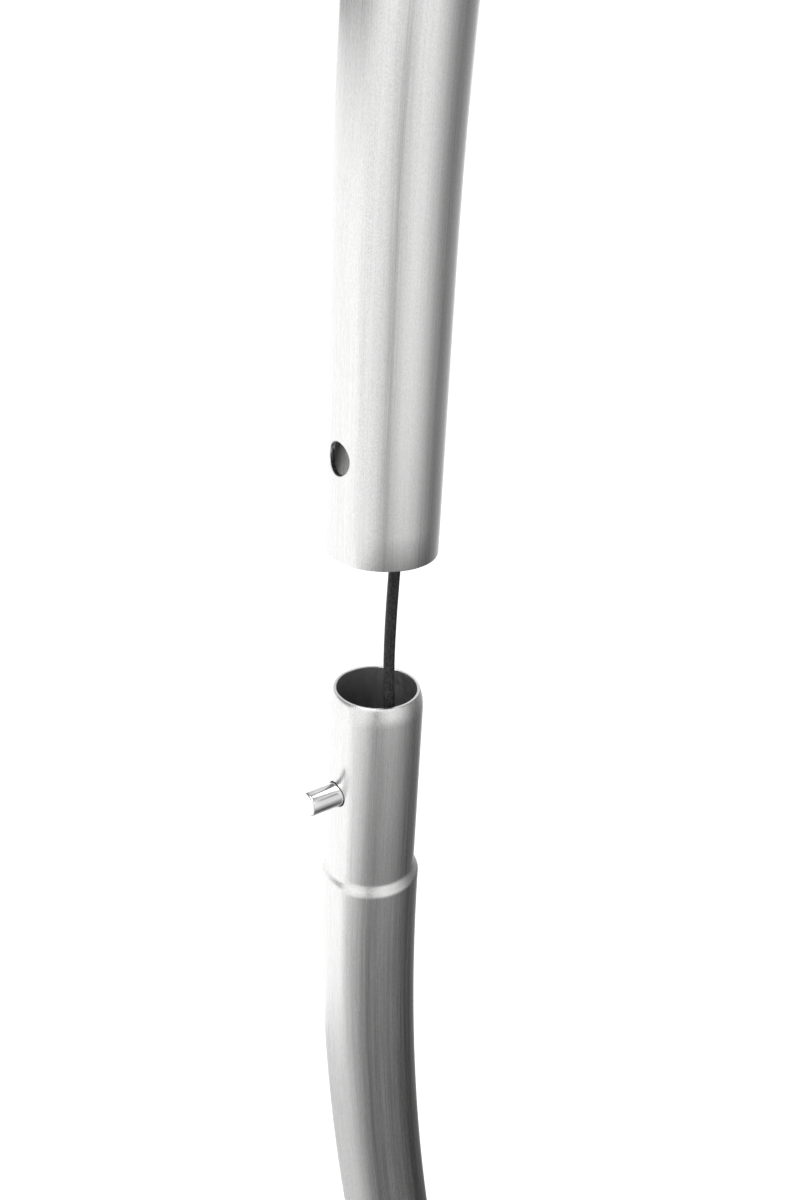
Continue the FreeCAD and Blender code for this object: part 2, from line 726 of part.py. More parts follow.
def shade_cup():
    """The vented cup that carries the dome, swaged into it between a bead and a lip."""
    top, inner = -CUP_TOP, CUP_R - SHADE_WALL
    bead, low = dome_meets(SHADE_R) + 0.02, dome_meets(SHADE_R - SHADE_WALL) - 1.5
    body = turned(
        (CUP_R, low),
        (CUP_R, bead),
        (CUP_R + 1.4, bead),
        (CUP_R + 1.4, bead + 0.8),
        (CUP_R, bead + 1.8),
        (CUP_R, top - 3),
        ((CUP_R - 0.9, top - 0.9), (CUP_R - 3, top)),
        (NIPPLE_R + 0.1, top),
        (NIPPLE_R + 0.1, top - SHADE_WALL),
        (CUP_R - 3, top - SHADE_WALL),
        ((inner - 0.6, top - SHADE_WALL - 0.6), (inner, top - SHADE_WALL - 2)),
        (inner, low),
    )
    vents = []
    for i in range(12):
        vent = round_bar(2.5, 20, 40)
        vent.rotate(V(), Y_AXIS, 90)
        vent.translate(V(0, 0, top - 14))
        vent.rotate(V(), Z_AXIS, i * 30)
        vents.append(vent)
    return placed(body.cut(vents), PIVOT)


def lock_washer():
    return placed(pipe(9, NIPPLE_R + 0.05, -CUP_TOP - SHADE_WALL - 0.8, -CUP_TOP - SHADE_WALL), PIVOT)


def nipple_nut():
    top = -CUP_TOP - SHADE_WALL - 0.8
    return placed(hexagon(14, top - 3.6, top).cut(round_bar(NIPPLE_R + 0.02, -60, 0)), PIVOT)


def lampholder_cap():
    body = turned(
        (NIPPLE_R + 0.02, HOLDER_TOP),
        (8, HOLDER_TOP),
        (8, HOLDER_TOP - 2),
        ((16, HOLDER_TOP - 6), (HOLDER_R, HOLDER_SPLIT)),
        (HOLDER_R - 2, HOLDER_SPLIT),
        ((14.5, HOLDER_TOP - 7.6), (7, HOLDER_TOP - 4.5)),
        (7, HOLDER_TOP - 11),
        (NIPPLE_R + 0.02, HOLDER_TOP - 11),
    )
    return placed(body, PIVOT)


def lampholder_shell():
    """The skirt, with a rolled bead at each end and a ribbed middle."""
    bead, rib, inner = HOLDER_R + 0.8, HOLDER_R + 0.6, HOLDER_R - 2
    steps = [
        (HOLDER_R, HOLDER_SPLIT),
        (bead, HOLDER_SPLIT - 1),
        (bead, HOLDER_SPLIT - 3),
        (HOLDER_R, HOLDER_SPLIT - 4),
    ]
    for i in range(8):
        z = HOLDER_SPLIT - 10 - i * 3
        steps += [(HOLDER_R, z + 0.9), (rib, z + 0.3), (rib, z - 0.3), (HOLDER_R, z - 0.9)]
    steps += [(HOLDER_R, HOLDER_END + 2), (18.8, HOLDER_END), (inner, HOLDER_END), (inner, HOLDER_SPLIT)]
    return placed(turned(*steps), PIVOT)


def lampholder_core():
    """The ceramic insulator, with a well for the screw shell."""
    body = turned(
        (0, HOLDER_SPLIT - 1), (17.3, HOLDER_SPLIT - 1), (17.3, HOLDER_END + 1), (14.3, HOLDER_END + 1),
        (14.3, HOLDER_SPLIT - 9), (0, HOLDER_SPLIT - 9),
    )
    return placed(body.cut([round_bar(1.6, -80, -40, x) for x in (-10, 10)]), PIVOT)


def screw_shell():
    """The brass thread that takes the bulb's cap."""
    return placed(thread(14.2, 13.9, HOLDER_SPLIT - 12, HOLDER_END + 2, 13.35), PIVOT)


def thread(radius, root, top, bottom, bore=0.0, pitch=3.6):
    """A turned stand-in for a rolled screw thread: rounded rings, a pitch apart."""
    steps, z = [(bore, top), (root, top)], top - pitch / 2
    while z - pitch / 2 > bottom:
        steps.append(((radius, z), (root, z - pitch / 2)))
        z -= pitch
    return turned(*steps, (root, bottom), (bore, bottom))


def centre_contact():
    tab = Part.makeBox(7, 5, 0.6, V(-3.5, -2.5, HOLDER_SPLIT - 11.2))
    stem = round_bar(1.2, HOLDER_SPLIT - 10.6, HOLDER_SPLIT - 9)
    return placed(tab.fuse(stem), PIVOT)


def bulb_cap():
    top = HOLDER_SPLIT - 14.5
    return placed(thread(13.2, 12.6, top, top - 23, 11.8, 3.6), PIVOT)


def bulb_contact():
    """The glass insulator under the cap, and its solder tip."""
    top = HOLDER_SPLIT - 14.5
    body = turned((0, top + 3.1), (3, top + 3.1), (4.5, top + 2.2), (8, top + 1.2), (12.4, top), (0, top))
    return placed(body, PIVOT)


def bulb_glass():
    """A pear-shaped globe, cemented into its cap."""
    top, wall, globe, flare = HOLDER_SPLIT - 36, 0.9, 30.0, 38.0

    def on(radius, angle):
        return (radius * math.cos(math.radians(angle)), radius * math.sin(math.radians(angle)) - BULB_DROP)

    inner = globe - wall
    lowest = (flare - 90) / 2
    body = turned(
        (10.8, top),
        (11.7, top),
        (11.7, top - 1.6),
        (12.6, top - 1.7),
        ((16.2, top - 16), on(globe, flare)),
        (on(globe, lowest), (0, -BULB_DROP - globe)),
        (0, -BULB_DROP - inner),
        (on(inner, lowest), on(inner, flare)),
        ((16.2 - wall, top - 16), (10.8, top - 2)),
    )
    return placed(body, PIVOT)


def bulb_stem():
    """The glass stem and four upright filaments round it."""
    top = HOLDER_SPLIT - 36
    made = [turned((0, top), (9, top), (4, top - 10), (2.2, top - 26), (2.2, top - 58), (0, top - 58))]
    for i in range(4):
        bar = round_bar(0.9, top - 54, top - 24, 7.0)
        bar.rotate(V(), Z_AXIS, 45 + 90 * i)
        made.append(bar)
    return placed(Part.makeCompound(made), PIVOT)


def head_flex():
    """From the swivel's lower neck down to the lampholder."""
    return placed(round_bar(FLEX_R, HOLDER_TOP - 15, -WIRE_STOPS), PIVOT)


# ---- lead on the floor: gland, foot switch, coil, plug ----

LEAD_TO_SWITCH = [
    (-178, 0, 7), (-205, -4, 3.6), (-228, -28, 2.8), (-232, -66, 2.8), (-212, -112, 2.8), (-168, -156, 2.8),
    (-108, -184, 2.8), (-40, -198, 2.8), (30, -196, 2.8), (96, -178, 2.8), (148, -147, 2.8), (180, -119, 4.6),
    (206.6, -99.95, 8),
]
LEAD_FROM_SWITCH = [(317.4, -64.05, 8), (348, -54, 4.6), (386, -38, 2.8), (430, -15, 2.8), (470, -8, 2.8)]
LEAD_TO_PLUG = [(468, 58, 8.6), (446, 59.4, 8.4), (422, 62.6, 7.4), (398, 67, 7)]


def lead_to_switch():
    return along(LEAD_TO_SWITCH, FLEX_R)


def lead_from_switch():
    return along(LEAD_FROM_SWITCH, FLEX_R)


def lead_to_plug():
    return along(LEAD_TO_PLUG, FLEX_R)


def lead_coil():
    """The outer shape of the lead's put-away turns."""
    inner, outer = COIL_MIDDLE_R - COIL_WIDE / 2, COIL_MIDDLE_R + COIL_WIDE / 2
    body = turned((inner, 0), (outer, 0), (outer, COIL_TALL), (inner, COIL_TALL))
    body = body.makeFillet(2.0, edges_at(body, 0) + edges_at(body, COIL_TALL))
    return placed(body, V(*COIL_CENTRE, 0))


def coil_tie():
    """A strap round the coil's bundle, on the side towards the base."""
    wide, high, thick = COIL_WIDE + 1.2, COIL_TALL + 0.4, 0.8
    outer = slab(wide + 2 * thick, 9, 0, high + thick, 0.5)
    hole = Part.makeBox(wide, 20, high + 1, V(-wide / 2, -10, -1))
    body = outer.cut(hole)
    return placed(body, V(COIL_CENTRE[0] - COIL_MIDDLE_R, COIL_CENTRE[1], 0))


def at_switch(shape):
    return placed(shape, V(*SWITCH_CENTRE, 0), 0, SWITCH_TURN)


def switch_inside(low, high):
    wall = 2 * SWITCH_WALL
    return slab(SWITCH_LONG - wall, SWITCH_WIDE - wall, low, high, 8)


def switch_gland(radius):
    """A bar along the flex, through both ends of the switch."""
    return placed(round_bar(radius, -100, 100), V(0, 0, SWITCH_SPLIT), 90)


def switch_screw_bars(radius, low, high):
    return [round_bar(radius, low, high, x) for x in (-30, 30)]


def switch_base():
    tray = slab(SWITCH_LONG, SWITCH_WIDE, 0, SWITCH_SPLIT, 10)
    tray = tray.makeFillet(1.2, edges_at(tray, 0))
    pillars = switch_screw_bars(3.2, 1.5, SWITCH_SPLIT)
    body = tray.cut(switch_inside(2, 20)).fuse(pillars)
    screw_holes = switch_screw_bars(1.6, -1, 20) + switch_screw_bars(3.0, -1, 1.4)
    body = body.cut([switch_gland(FLEX_R + 0.02)] + screw_holes)
    return at_switch(body)


def switch_cover():
    """A domed cover with a round opening for the foot button."""
    shell = slab(SWITCH_LONG, SWITCH_WIDE, SWITCH_SPLIT, SWITCH_TOP, 10)
    shell = shell.makeFillet(5, edges_at(shell, SWITCH_TOP))
    body = shell.cut([switch_inside(0, SWITCH_TOP - 2.4), round_bar(BUTTON_R + 0.4, 0, 40)])
    collar = pipe(BUTTON_R + 2.4, BUTTON_R + 0.4, SWITCH_TOP - 2.4, SWITCH_TOP + 1.2)
    pillars = switch_screw_bars(3.2, SWITCH_SPLIT, SWITCH_TOP - 2.0)
    body = body.fuse([collar] + pillars)
    body = body.cut([switch_gland(FLEX_R + 0.02)] + switch_screw_bars(1.25, 0, 15))
    return at_switch(body.removeSplitter())


def switch_button():
    flange_top = SWITCH_TOP - 2.4 - 0.1
    dish = 0.9
    body = turned(
        (0, flange_top - 1.8),
        (BUTTON_R + 1.8, flange_top - 1.8),
        (BUTTON_R + 1.8, flange_top),
        (BUTTON_R, flange_top),
        (BUTTON_R, BUTTON_TOP - 2),
        ((BUTTON_R - 0.6, BUTTON_TOP - 0.6), (BUTTON_R - 2, BUTTON_TOP)),
        (BUTTON_R - 3.5, BUTTON_TOP - dish),
        (0, BUTTON_TOP - dish),
    )
    return at_switch(body)


def switch_contacts():
    """The contact block and its two terminals."""
    block = slab(34, 20, 2, 9, 1.5)
    clamps = [slab(6, 12, 9, 11, 0.8) for _ in (0, 1)]
    for clamp, x in zip(clamps, (-13.5, 13.5)):
        clamp.translate(V(x, 0, 0))
    return at_switch(block.fuse(clamps).cut(switch_gland(FLEX_R + 0.02)).removeSplitter())


def switch_spring():
    """A coil spring drawn as stacked rings, between the contact block and the button."""
    rings = [Part.makeTorus(6, 0.45, V(0, 0, z), Z_AXIS) for z in (11.6, 13.0, 14.4, 15.8)]
    return at_switch(Part.makeCompound(rings))


def switch_screws():
    made = []
    for x in (-30, 30):
        body = round_bar(1.25, 1.0, 13, x).fuse(round_bar(2.7, 0.2, 1.3, x))
        made.append(body.cut(Part.makeBox(6, 0.7, 0.6, V(x - 3, -0.35, 0))).removeSplitter())
    return at_switch(Part.makeCompound(made))


def switch_reliefs():
    sleeve = relief(4.6, 3.5, 18)
    made = []
    for lean in (-90, 90):
        side = 1 if lean > 0 else -1
        made.append(placed(sleeve, V(side * SWITCH_LONG / 2, 0, SWITCH_SPLIT), lean))
    return at_switch(Part.makeCompound(made))


def at_plug(shape):
    """From the plug's frame, with its flex at the origin and its blades towards -X."""
    return placed(shape, V(*PLUG_END, 0), 0, PLUG_TURN)


def plug_body():
    """A flat moulded plug that narrows to the flex."""
    half, neck = PLUG_WIDE / 2, 6.0
    corners = [
        V(PLUG_FACE, -half, 0), V(PLUG_FACE + 13, -half, 0), V(-RELIEF_LONG - 5, -neck - 1, 0),
        V(-RELIEF_LONG, -neck, 0), V(-RELIEF_LONG, neck, 0), V(-RELIEF_LONG - 5, neck + 1, 0),
        V(PLUG_FACE + 13, half, 0), V(PLUG_FACE, half, 0), V(PLUG_FACE, -half, 0),
    ]
    body = Part.Face(Part.makePolygon(corners)).extrude(V(0, 0, PLUG_THICK))
    round_these = [e for e in body.Edges if e.BoundBox.XMax > PLUG_FACE + 0.1 or e.BoundBox.XLength < 0.1]
    body = body.makeFillet(2.6, [e for e in round_these if e.BoundBox.XMin < -RELIEF_LONG - 0.1])
    tail = placed(relief(5.4, 3.5, RELIEF_LONG), V(-RELIEF_LONG, 0, PLUG_THICK / 2), 90)
    hole = placed(round_bar(FLEX_R + 0.02, -RELIEF_LONG - 1, 40), V(0, 0, PLUG_THICK / 2), 90)
    return at_plug(body.fuse(tail).cut([hole] + plug_pin_bars(2.0, -1.0, 8.0)))


def plug_pin_bars(radius, out, into):
    """Two bars across the plug's face."""
    made = []
    for y in (-9.3, 9.3):
        bar = placed(round_bar(radius, out, into), V(PLUG_FACE, y, PLUG_THICK / 2), 90)
        made.append(bar)
    return made


def plug_pins():
    pins = []
    for y in (-9.3, 9.3):
        pin = turned((0, -8), (2.0, -8), (2.0, 17.9), ((1.68, 18.68), (0.9, 19)), (0, 19))
        pins.append(placed(pin, V(PLUG_FACE, y, PLUG_THICK / 2), -90))
    return at_plug(Part.makeCompound(pins))


def lower_snap_spring():
    return placed(snap_spring(), LOWER_RIM)


def upper_snap_spring():
    return placed(snap_spring(), UPPER_RIM, MIDDLE_LEAN)


def lower_snap_pin():
    return placed(snap_pin(), LOWER_RIM)


def upper_snap_pin():
    return placed(snap_pin(), UPPER_RIM, MIDDLE_LEAN)


NODES = [
    floor_pad, base_weight, base_cover, base_screws, pole_socket, socket_grub_screws, cord_clamp,
    clamp_screws, cord_grommet, lower_pole, lower_snap_spring, lower_snap_pin, lower_flex, gap_flex,
    middle_pole, upper_snap_spring, upper_snap_pin, middle_flex, arm_tube, joint_flex, arm_flex,
    arm_end_plug, arm_nipple, swivel_arm_half, swivel_washer, swivel_bolt, swivel_knob,
    swivel_head_half, head_nipple, head_flex, shade_washer, shade, shade_cup, lock_washer, nipple_nut,
    lampholder_cap, lampholder_shell, lampholder_core, screw_shell, centre_contact, bulb_cap,
    bulb_contact, bulb_glass, bulb_stem, lead_to_switch, switch_base, switch_cover, switch_button,
    switch_contacts, switch_spring, switch_screws, switch_reliefs, lead_from_switch, lead_coil,
    coil_tie, lead_to_plug, plug_body, plug_pins,
]

os.makedirs("parts", exist_ok=True)
for build in NODES:
    shape = build()
    if not shape.isValid() or shape.Volume <= 0:
        print(f"{build.__name__}: not a valid solid")
    shape.exportStep(f"parts/{build.__name__}.step")
print(f"{len(NODES)} nodes; the pivot is at {PIVOT}")
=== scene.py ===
"""Looks of the arc floor lamp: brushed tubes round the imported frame, the flex, the base and the head."""

import json
import math

import bmesh
import bpy
import numpy as np
from mathutils import Matrix, Vector


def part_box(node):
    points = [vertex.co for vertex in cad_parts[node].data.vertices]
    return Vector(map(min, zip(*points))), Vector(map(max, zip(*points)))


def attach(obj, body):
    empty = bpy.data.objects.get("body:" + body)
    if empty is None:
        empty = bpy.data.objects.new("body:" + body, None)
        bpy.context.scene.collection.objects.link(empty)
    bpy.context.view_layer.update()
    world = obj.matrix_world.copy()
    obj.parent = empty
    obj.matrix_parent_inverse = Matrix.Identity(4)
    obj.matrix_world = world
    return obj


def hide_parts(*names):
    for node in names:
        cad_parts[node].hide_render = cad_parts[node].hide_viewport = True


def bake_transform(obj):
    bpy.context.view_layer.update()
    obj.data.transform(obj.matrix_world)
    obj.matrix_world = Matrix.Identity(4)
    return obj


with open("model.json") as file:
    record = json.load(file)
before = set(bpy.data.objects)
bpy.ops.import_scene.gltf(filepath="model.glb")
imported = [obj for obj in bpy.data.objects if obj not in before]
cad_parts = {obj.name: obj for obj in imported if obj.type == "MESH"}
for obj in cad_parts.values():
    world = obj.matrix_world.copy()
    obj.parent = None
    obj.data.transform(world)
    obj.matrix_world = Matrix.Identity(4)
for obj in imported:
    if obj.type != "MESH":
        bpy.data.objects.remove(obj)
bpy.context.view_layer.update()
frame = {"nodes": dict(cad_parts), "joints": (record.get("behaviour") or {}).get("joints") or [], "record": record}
MM = 0.001

# ---- sizes, in millimetres and degrees, but CAMERA_TURN in radians ----

TUBE_R, BORE_R = 12.7, 11.5
NECK_R, NECK_BORE_R = 11.4, 10.2
NECK_LENGTH, SHOULDER_LENGTH = 50.5, 5.0
RIM_R, RIM_BORE_R, RIM_TALL = 10.5, 9.75, 5.0
SLEEVE_LENGTH = 60.0
PIN_BELOW_RIM, PIN_TURN = 27.0, 225.0
PIN_R, PIN_STANDS_OUT, PIN_HOLE_R, BUTTON_HOLE_R = 3.0, 8.0, 3.3, 3.7
JOINT_GAP = 36.0
CAMERA_BACK, CAMERA_UP, CAMERA_TURN = 224.67, 132.53, 0.15
NECK_X, RIM_Z = -203.0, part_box("lower_pole")[1].z / MM
FOOT_LEAN, FOOT_STRAIGHT, LOWER_BEND_R = -30.0, 45.0, 900.0
MIDDLE_LEAN, MIDDLE_BEND_R = 38.0, 1150.0
ARM_LEAN, ARM_BEND_R = 100.0, 950.0
PIVOT = Vector(next(j for j in frame["joints"] if j["name"] == "shade_tilt")["pos_m"]) / MM

# ---- where the pole's sections lie, in the XZ plane ----


def leant(x, z, lean):
    """A step in a tube's own frame, x towards the hollow side of its bends and z along it."""
    c, s = math.cos(math.radians(lean)), math.sin(math.radians(lean))
    return Vector((x * c + z * s, 0, z * c - x * s))


def pole_line(start, lean, runs):
    """A function from the distance along a pole to its middle and lean there. Runs are (length, end lean)."""

    def at(distance):
        place, now, left = Vector(start), lean, distance
        for i, (length, then) in enumerate(runs):
            part = left if i == len(runs) - 1 or left < length else length
            if then == now:
                place = place + leant(0, part, now)
            else:
                radius = length / math.radians(then - now)
                turned = now + (then - now) * part / length
                place = place + leant(radius, 0, now) - leant(radius, 0, turned)
                now = turned if left < length else then
            left -= part
            if left <= 0:
                break
        return place, now

    return at


def arc_length(radius, degrees):
    return radius * math.radians(abs(degrees))


LOWER_BEND_LONG = arc_length(LOWER_BEND_R, FOOT_LEAN)
MIDDLE_BEND_LONG = arc_length(MIDDLE_BEND_R, MIDDLE_LEAN)
ARM_BEND_LONG = arc_length(ARM_BEND_R, ARM_LEAN - MIDDLE_LEAN)
SHOULDER = Vector((NECK_X, 0, RIM_Z - NECK_LENGTH - SHOULDER_LENGTH))
FOOT_TOP = SHOULDER + leant(LOWER_BEND_R, 0, 0) - leant(LOWER_BEND_R, 0, FOOT_LEAN)
FOOT_END = FOOT_TOP - leant(0, FOOT_STRAIGHT, FOOT_LEAN)
MIDDLE_MOUTH = Vector((NECK_X, 0, RIM_Z + JOINT_GAP))
NECK_END = NECK_LENGTH + SHOULDER_LENGTH

lower_line = pole_line(FOOT_END, FOOT_LEAN, [(FOOT_STRAIGHT, FOOT_LEAN), (LOWER_BEND_LONG, 0), (NECK_END, 0)])
LOWER_LONG = FOOT_STRAIGHT + LOWER_BEND_LONG + NECK_END
middle_line = pole_line(
    MIDDLE_MOUTH, 0, [(SLEEVE_LENGTH, 0), (MIDDLE_BEND_LONG, MIDDLE_LEAN), (NECK_END, MIDDLE_LEAN)]
)
MIDDLE_LONG = SLEEVE_LENGTH + MIDDLE_BEND_LONG + NECK_END
UPPER_RIM = middle_line(MIDDLE_LONG)[0]
ARM_MOUTH = UPPER_RIM - leant(0, NECK_LENGTH, MIDDLE_LEAN)
arm_line = pole_line(ARM_MOUTH, MIDDLE_LEAN, [(SLEEVE_LENGTH, MIDDLE_LEAN), (ARM_BEND_LONG, ARM_LEAN)])
ARM_LONG = SLEEVE_LENGTH + ARM_BEND_LONG


def upright(x=0.0, y=0.0):
    """A line along Z."""
    return lambda distance: (Vector((x, y, distance)), 0.0)


# ---- mesh builders ----


def rounded(corners, steps=4):
    """An outline of (along, radius) points from corners (along, radius, fillet)."""
    made = []
    count = len(corners)
    for i, (s, r, fillet) in enumerate(corners):
        here = Vector((s, r))
        if not fillet or i in (0, count - 1):
            made.append((s, r))
            continue
        back = (Vector(corners[i - 1][:2]) - here).normalized()
        on = (Vector(corners[i + 1][:2]) - here).normalized()
        half = back.angle(on) / 2
        reach = fillet / math.tan(half)
        centre = here + (back + on).normalized() * (fillet / math.sin(half))
        first, last = here + back * reach - centre, here + on * reach - centre
        sweep = first.angle_signed(last)
        for k in range(steps + 1):
            spoke = first.copy()
            spoke.rotate(Matrix.Rotation(-sweep * k / steps, 2))
            made.append(tuple(centre + spoke))
    return made


def mesh_object(name, points, faces, grain=None, slots=None):
    """A shaded mesh object from points in millimetres, with each point's place in the metal's grain."""
    mesh = bpy.data.meshes.new(name)
    mesh.from_pydata([Vector(p) * MM for p in points], [], faces)
    if grain is not None:
        layer = mesh.attributes.new("grain", "FLOAT_VECTOR", "POINT")
        layer.data.foreach_set("vector", np.array(grain, dtype=np.float32).ravel())
    if slots is not None:
        mesh.polygons.foreach_set("material_index", slots)
    made = bpy.data.objects.new(name, mesh)
    bpy.context.scene.collection.objects.link(made)
    return made


def finish_mesh(piece, sharp=38.0):
    """Merges doubled points, turns the faces outwards and shades them smooth but for sharp edges."""
    work = bmesh.new()
    work.from_mesh(piece.data)
    bmesh.ops.remove_doubles(work, verts=work.verts, dist=1e-6)
    bmesh.ops.recalc_face_normals(work, faces=work.faces)
    work.to_mesh(piece.data)
    work.free()
    for face in piece.data.polygons:
        face.use_smooth = True
    piece.data.set_sharp_from_angle(angle=math.radians(sharp))
    return piece


def surface_point(line, s, turn, r):
    place, lean = line(s)
    out = leant(math.cos(turn), 0, lean)
    return place + out * r + Vector((0, math.sin(turn) * r, 0))


def turned(name, line, outline, around=96, holes=(), longest=8.0, closed=True, grain="along", inside=None):
    """A mesh that an outline of (along, radius) makes about a line. Each hole is (along, turn, radius).

    Grain runs along the line, or round it. Faces from outline step `inside` on take the second material.
    """
    rows, marks = [], []
    widest = max(r for s, r in outline)
    steps = list(zip(outline, outline[1:] + outline[:1])) if closed else list(zip(outline, outline[1:]))
    for i, ((s0, r0), (s1, r1)) in enumerate(steps):
        rows.append((s0, r0))
        marks.append(i)
        stops = []
        for along, turn, radius in holes:
            reach = 1.7 * radius
            if abs(r0 - r1) < 1e-3 and min(s0, s1) <= along - reach and max(s0, s1) >= along + reach:
                cells = patch_cells(radius, widest, around)
                stops += [along - reach + 2 * reach * k / cells for k in range(cells + 1)]
        stops += plain_stops(s0, s1, stops, longest)
        for s in sorted(set(stops), reverse=s1 < s0):
            share = (s - s0) / (s1 - s0)
            rows.append((s, r0 + (r1 - r0) * share))
            marks.append(i)
    if not closed:
        rows.append(outline[-1])
        marks.append(len(steps))
    points, grains, faces, slots = [], [], [], []
    path = 0.0
    for k, (s, r) in enumerate(rows):
        path += math.hypot(s - rows[k - 1][0], r - rows[k - 1][1]) if k else 0.0
        for j in range(around):
            turn = 2 * math.pi * j / around
            points.append(surface_point(line, s, turn, r))
            grains.append((r * math.cos(turn), r * math.sin(turn), s) if grain == "along" else (path, 0, 0))
    skip = set()
    for along, turn, radius in holes:
        loops = []
        middle = round(math.radians(turn) / (2 * math.pi) * around)
        reach = 1.7 * radius
        walls = [k for k, (s, r) in enumerate(rows) if abs(s - (along - reach)) < 1e-6]
        for first in walls:
            r = rows[first][1]
            cells = patch_cells(radius, widest, around)
            upward = abs(rows[first + 1][0] - rows[first][0]) > 1e-9 and rows[first + 1][0] > rows[first][0]
            sign = 1 if upward else -1
            half = cells // 2
            edge = patch_edge(cells)
            border = [(first + sign * a, (middle + b - half) % around) for a, b in edge]
            for a in range(cells):
                row = first + a if upward else first - a - 1
                skip.update((row, (middle + b - half) % around) for b in range(cells))
            loops.append((r, [row * around + col for row, col in border], edge, half, cells))
        bridge_hole(points, grains, faces, slots, line, along, turn, radius, loops, around, reach)
    last = len(rows) if closed else len(rows) - 1
    for k in range(last):
        below, above = k * around, (k + 1) % len(rows) * around
        for j in range(around):
            if (k, j) in skip:
                continue
            following = (j + 1) % around
            faces.append((below + j, below + following, above + following, above + j))
            slots.append(1 if inside is not None and marks[k] >= inside else 0)
    piece = mesh_object(name, points, faces, grains, slots)
    return finish_mesh(piece)


def plain_stops(s0, s1, taken, longest):
    """Evenly spaced stations between two, outside those that are taken."""
    low, high = min(s0, s1), max(s0, s1)
    count = max(1, math.ceil((high - low) / longest))
    made = [low + (high - low) * k / count for k in range(1, count)]
    if taken:
        made = [s for s in made if s < min(taken) - 0.5 or s > max(taken) + 0.5]
    return made


def patch_cells(radius, r, around):
    """How many segments round the tube a hole's square patch spans: an even number."""
    half = math.ceil(1.7 * radius / (2 * math.pi * r / around))
    return 2 * half


def patch_edge(cells):
    """The border of a square patch, as (row, column) steps in order."""
    low = [(0, b) for b in range(cells)]
    right = [(a, cells) for a in range(cells)]
    high = [(cells, b) for b in range(cells, 0, -1)]
    left = [(a, 0) for a in range(cells, 0, -1)]
    return low + right + high + left


def bridge_hole(points, grains, faces, slots, line, along, turn, radius, loops, around, reach):
    """Rings of faces from the outer skin's patch to a hole, through the wall, to the inner skin's patch."""
    bevel = 0.12
    outer, inner = sorted(loops, key=lambda loop: -loop[0])
    middle_turn = 2 * math.pi * round(math.radians(turn) / (2 * math.pi) * around) / around
    chains = []
    for r, border, edge, half, cells in (outer, inner):
        flat = []
        for a, b in edge:
            v = -reach + 2 * reach * a / cells
            w = r * math.sin((b - half) * 2 * math.pi / around)
            flat.append((v, w))
        rings = [border]
        shift = -bevel if r == outer[0] else bevel
        for share, lift in ((0.35, 0), (0.7, 0), (0.92, 0), (1.0, 0), (None, shift)):
            ring = []
            for v, w in flat:
                angle = math.atan2(w, v)
                target = radius + bevel if share is not None else radius
                tv, tw = target * math.cos(angle), target * math.sin(angle)
                mix = 1.0 if share is None else share
                pv, pw = v + (tv - v) * mix, w + (tw - w) * mix
                at_r = r + lift
                at_turn = middle_turn + math.asin(max(-1, min(1, pw / at_r)))
                ring.append(len(points))
                points.append(surface_point(line, along + pv, at_turn, at_r))
                grains.append((at_r * math.cos(at_turn), at_r * math.sin(at_turn), along + pv))
            rings.append(ring)
        chains.append(rings)
    sequence = chains[0] + chains[1][::-1]
    for near, far in zip(sequence, sequence[1:]):
        if len(near) != len(far):
            raise ValueError("a hole's two patches have different borders")
        for i in range(len(near)):
            j = (i + 1) % len(near)
            faces.append((near[i], near[j], far[j], far[i]))
            slots.append(0)


# ---- materials ----


class Nodes:
    """A new material's node tree, with short ways to add and join nodes."""

    def __init__(self, name):
        self.material = bpy.data.materials.new(name)
        self.material.use_nodes = True
        self.tree = self.material.node_tree
        self.shader = self.tree.nodes["Principled BSDF"]

    def add(self, kind, **values):
        node = self.tree.nodes.new(f"ShaderNode{kind}")
        for key, value in values.items():
            if key in node.inputs:
                node.inputs[key].default_value = value
            else:
                setattr(node, key, value)
        return node

    def join(self, source, target):
        self.tree.links.new(source, target)

    def set(self, **values):
        for key, value in values.items():
            self.shader.inputs[key.replace("_", " ")].default_value = value

    def noise(self, vector, scale, detail=4.0, roughness=0.6):
        node = self.add("TexNoise", Scale=scale, Detail=detail, Roughness=roughness)
        self.join(vector, node.inputs["Vector"])
        return node.outputs["Fac"]

    def stretched(self, vector, scale):
        node = self.add("VectorMath", operation="MULTIPLY")
        self.join(vector, node.inputs[0])
        node.inputs[1].default_value = scale
        return node.outputs["Vector"]

    def ramp(self, value, low, high, low_at=0.0, high_at=1.0):
        node = self.add("MapRange")
        self.join(value, node.inputs["Value"])
        for key, number in (("From Min", low_at), ("From Max", high_at), ("To Min", low), ("To Max", high)):
            node.inputs[key].default_value = number
        return node.outputs["Result"]

    def blend_colour(self, share, first, second):
        node = self.add("Mix", data_type="RGBA")
        self.join(share, node.inputs["Factor"])
        node.inputs[6].default_value = (*first, 1)
        node.inputs[7].default_value = (*second, 1)
        return node.outputs[2]

    def bump(self, height, strength, distance, before=None):
        node = self.add("Bump", Strength=strength, Distance=distance)
        self.join(height, node.inputs["Height"])
        if before is not None:
            self.join(before, node.inputs["Normal"])
        self.join(node.outputs["Normal"], self.shader.inputs["Normal"])
        return node.outputs["Normal"]


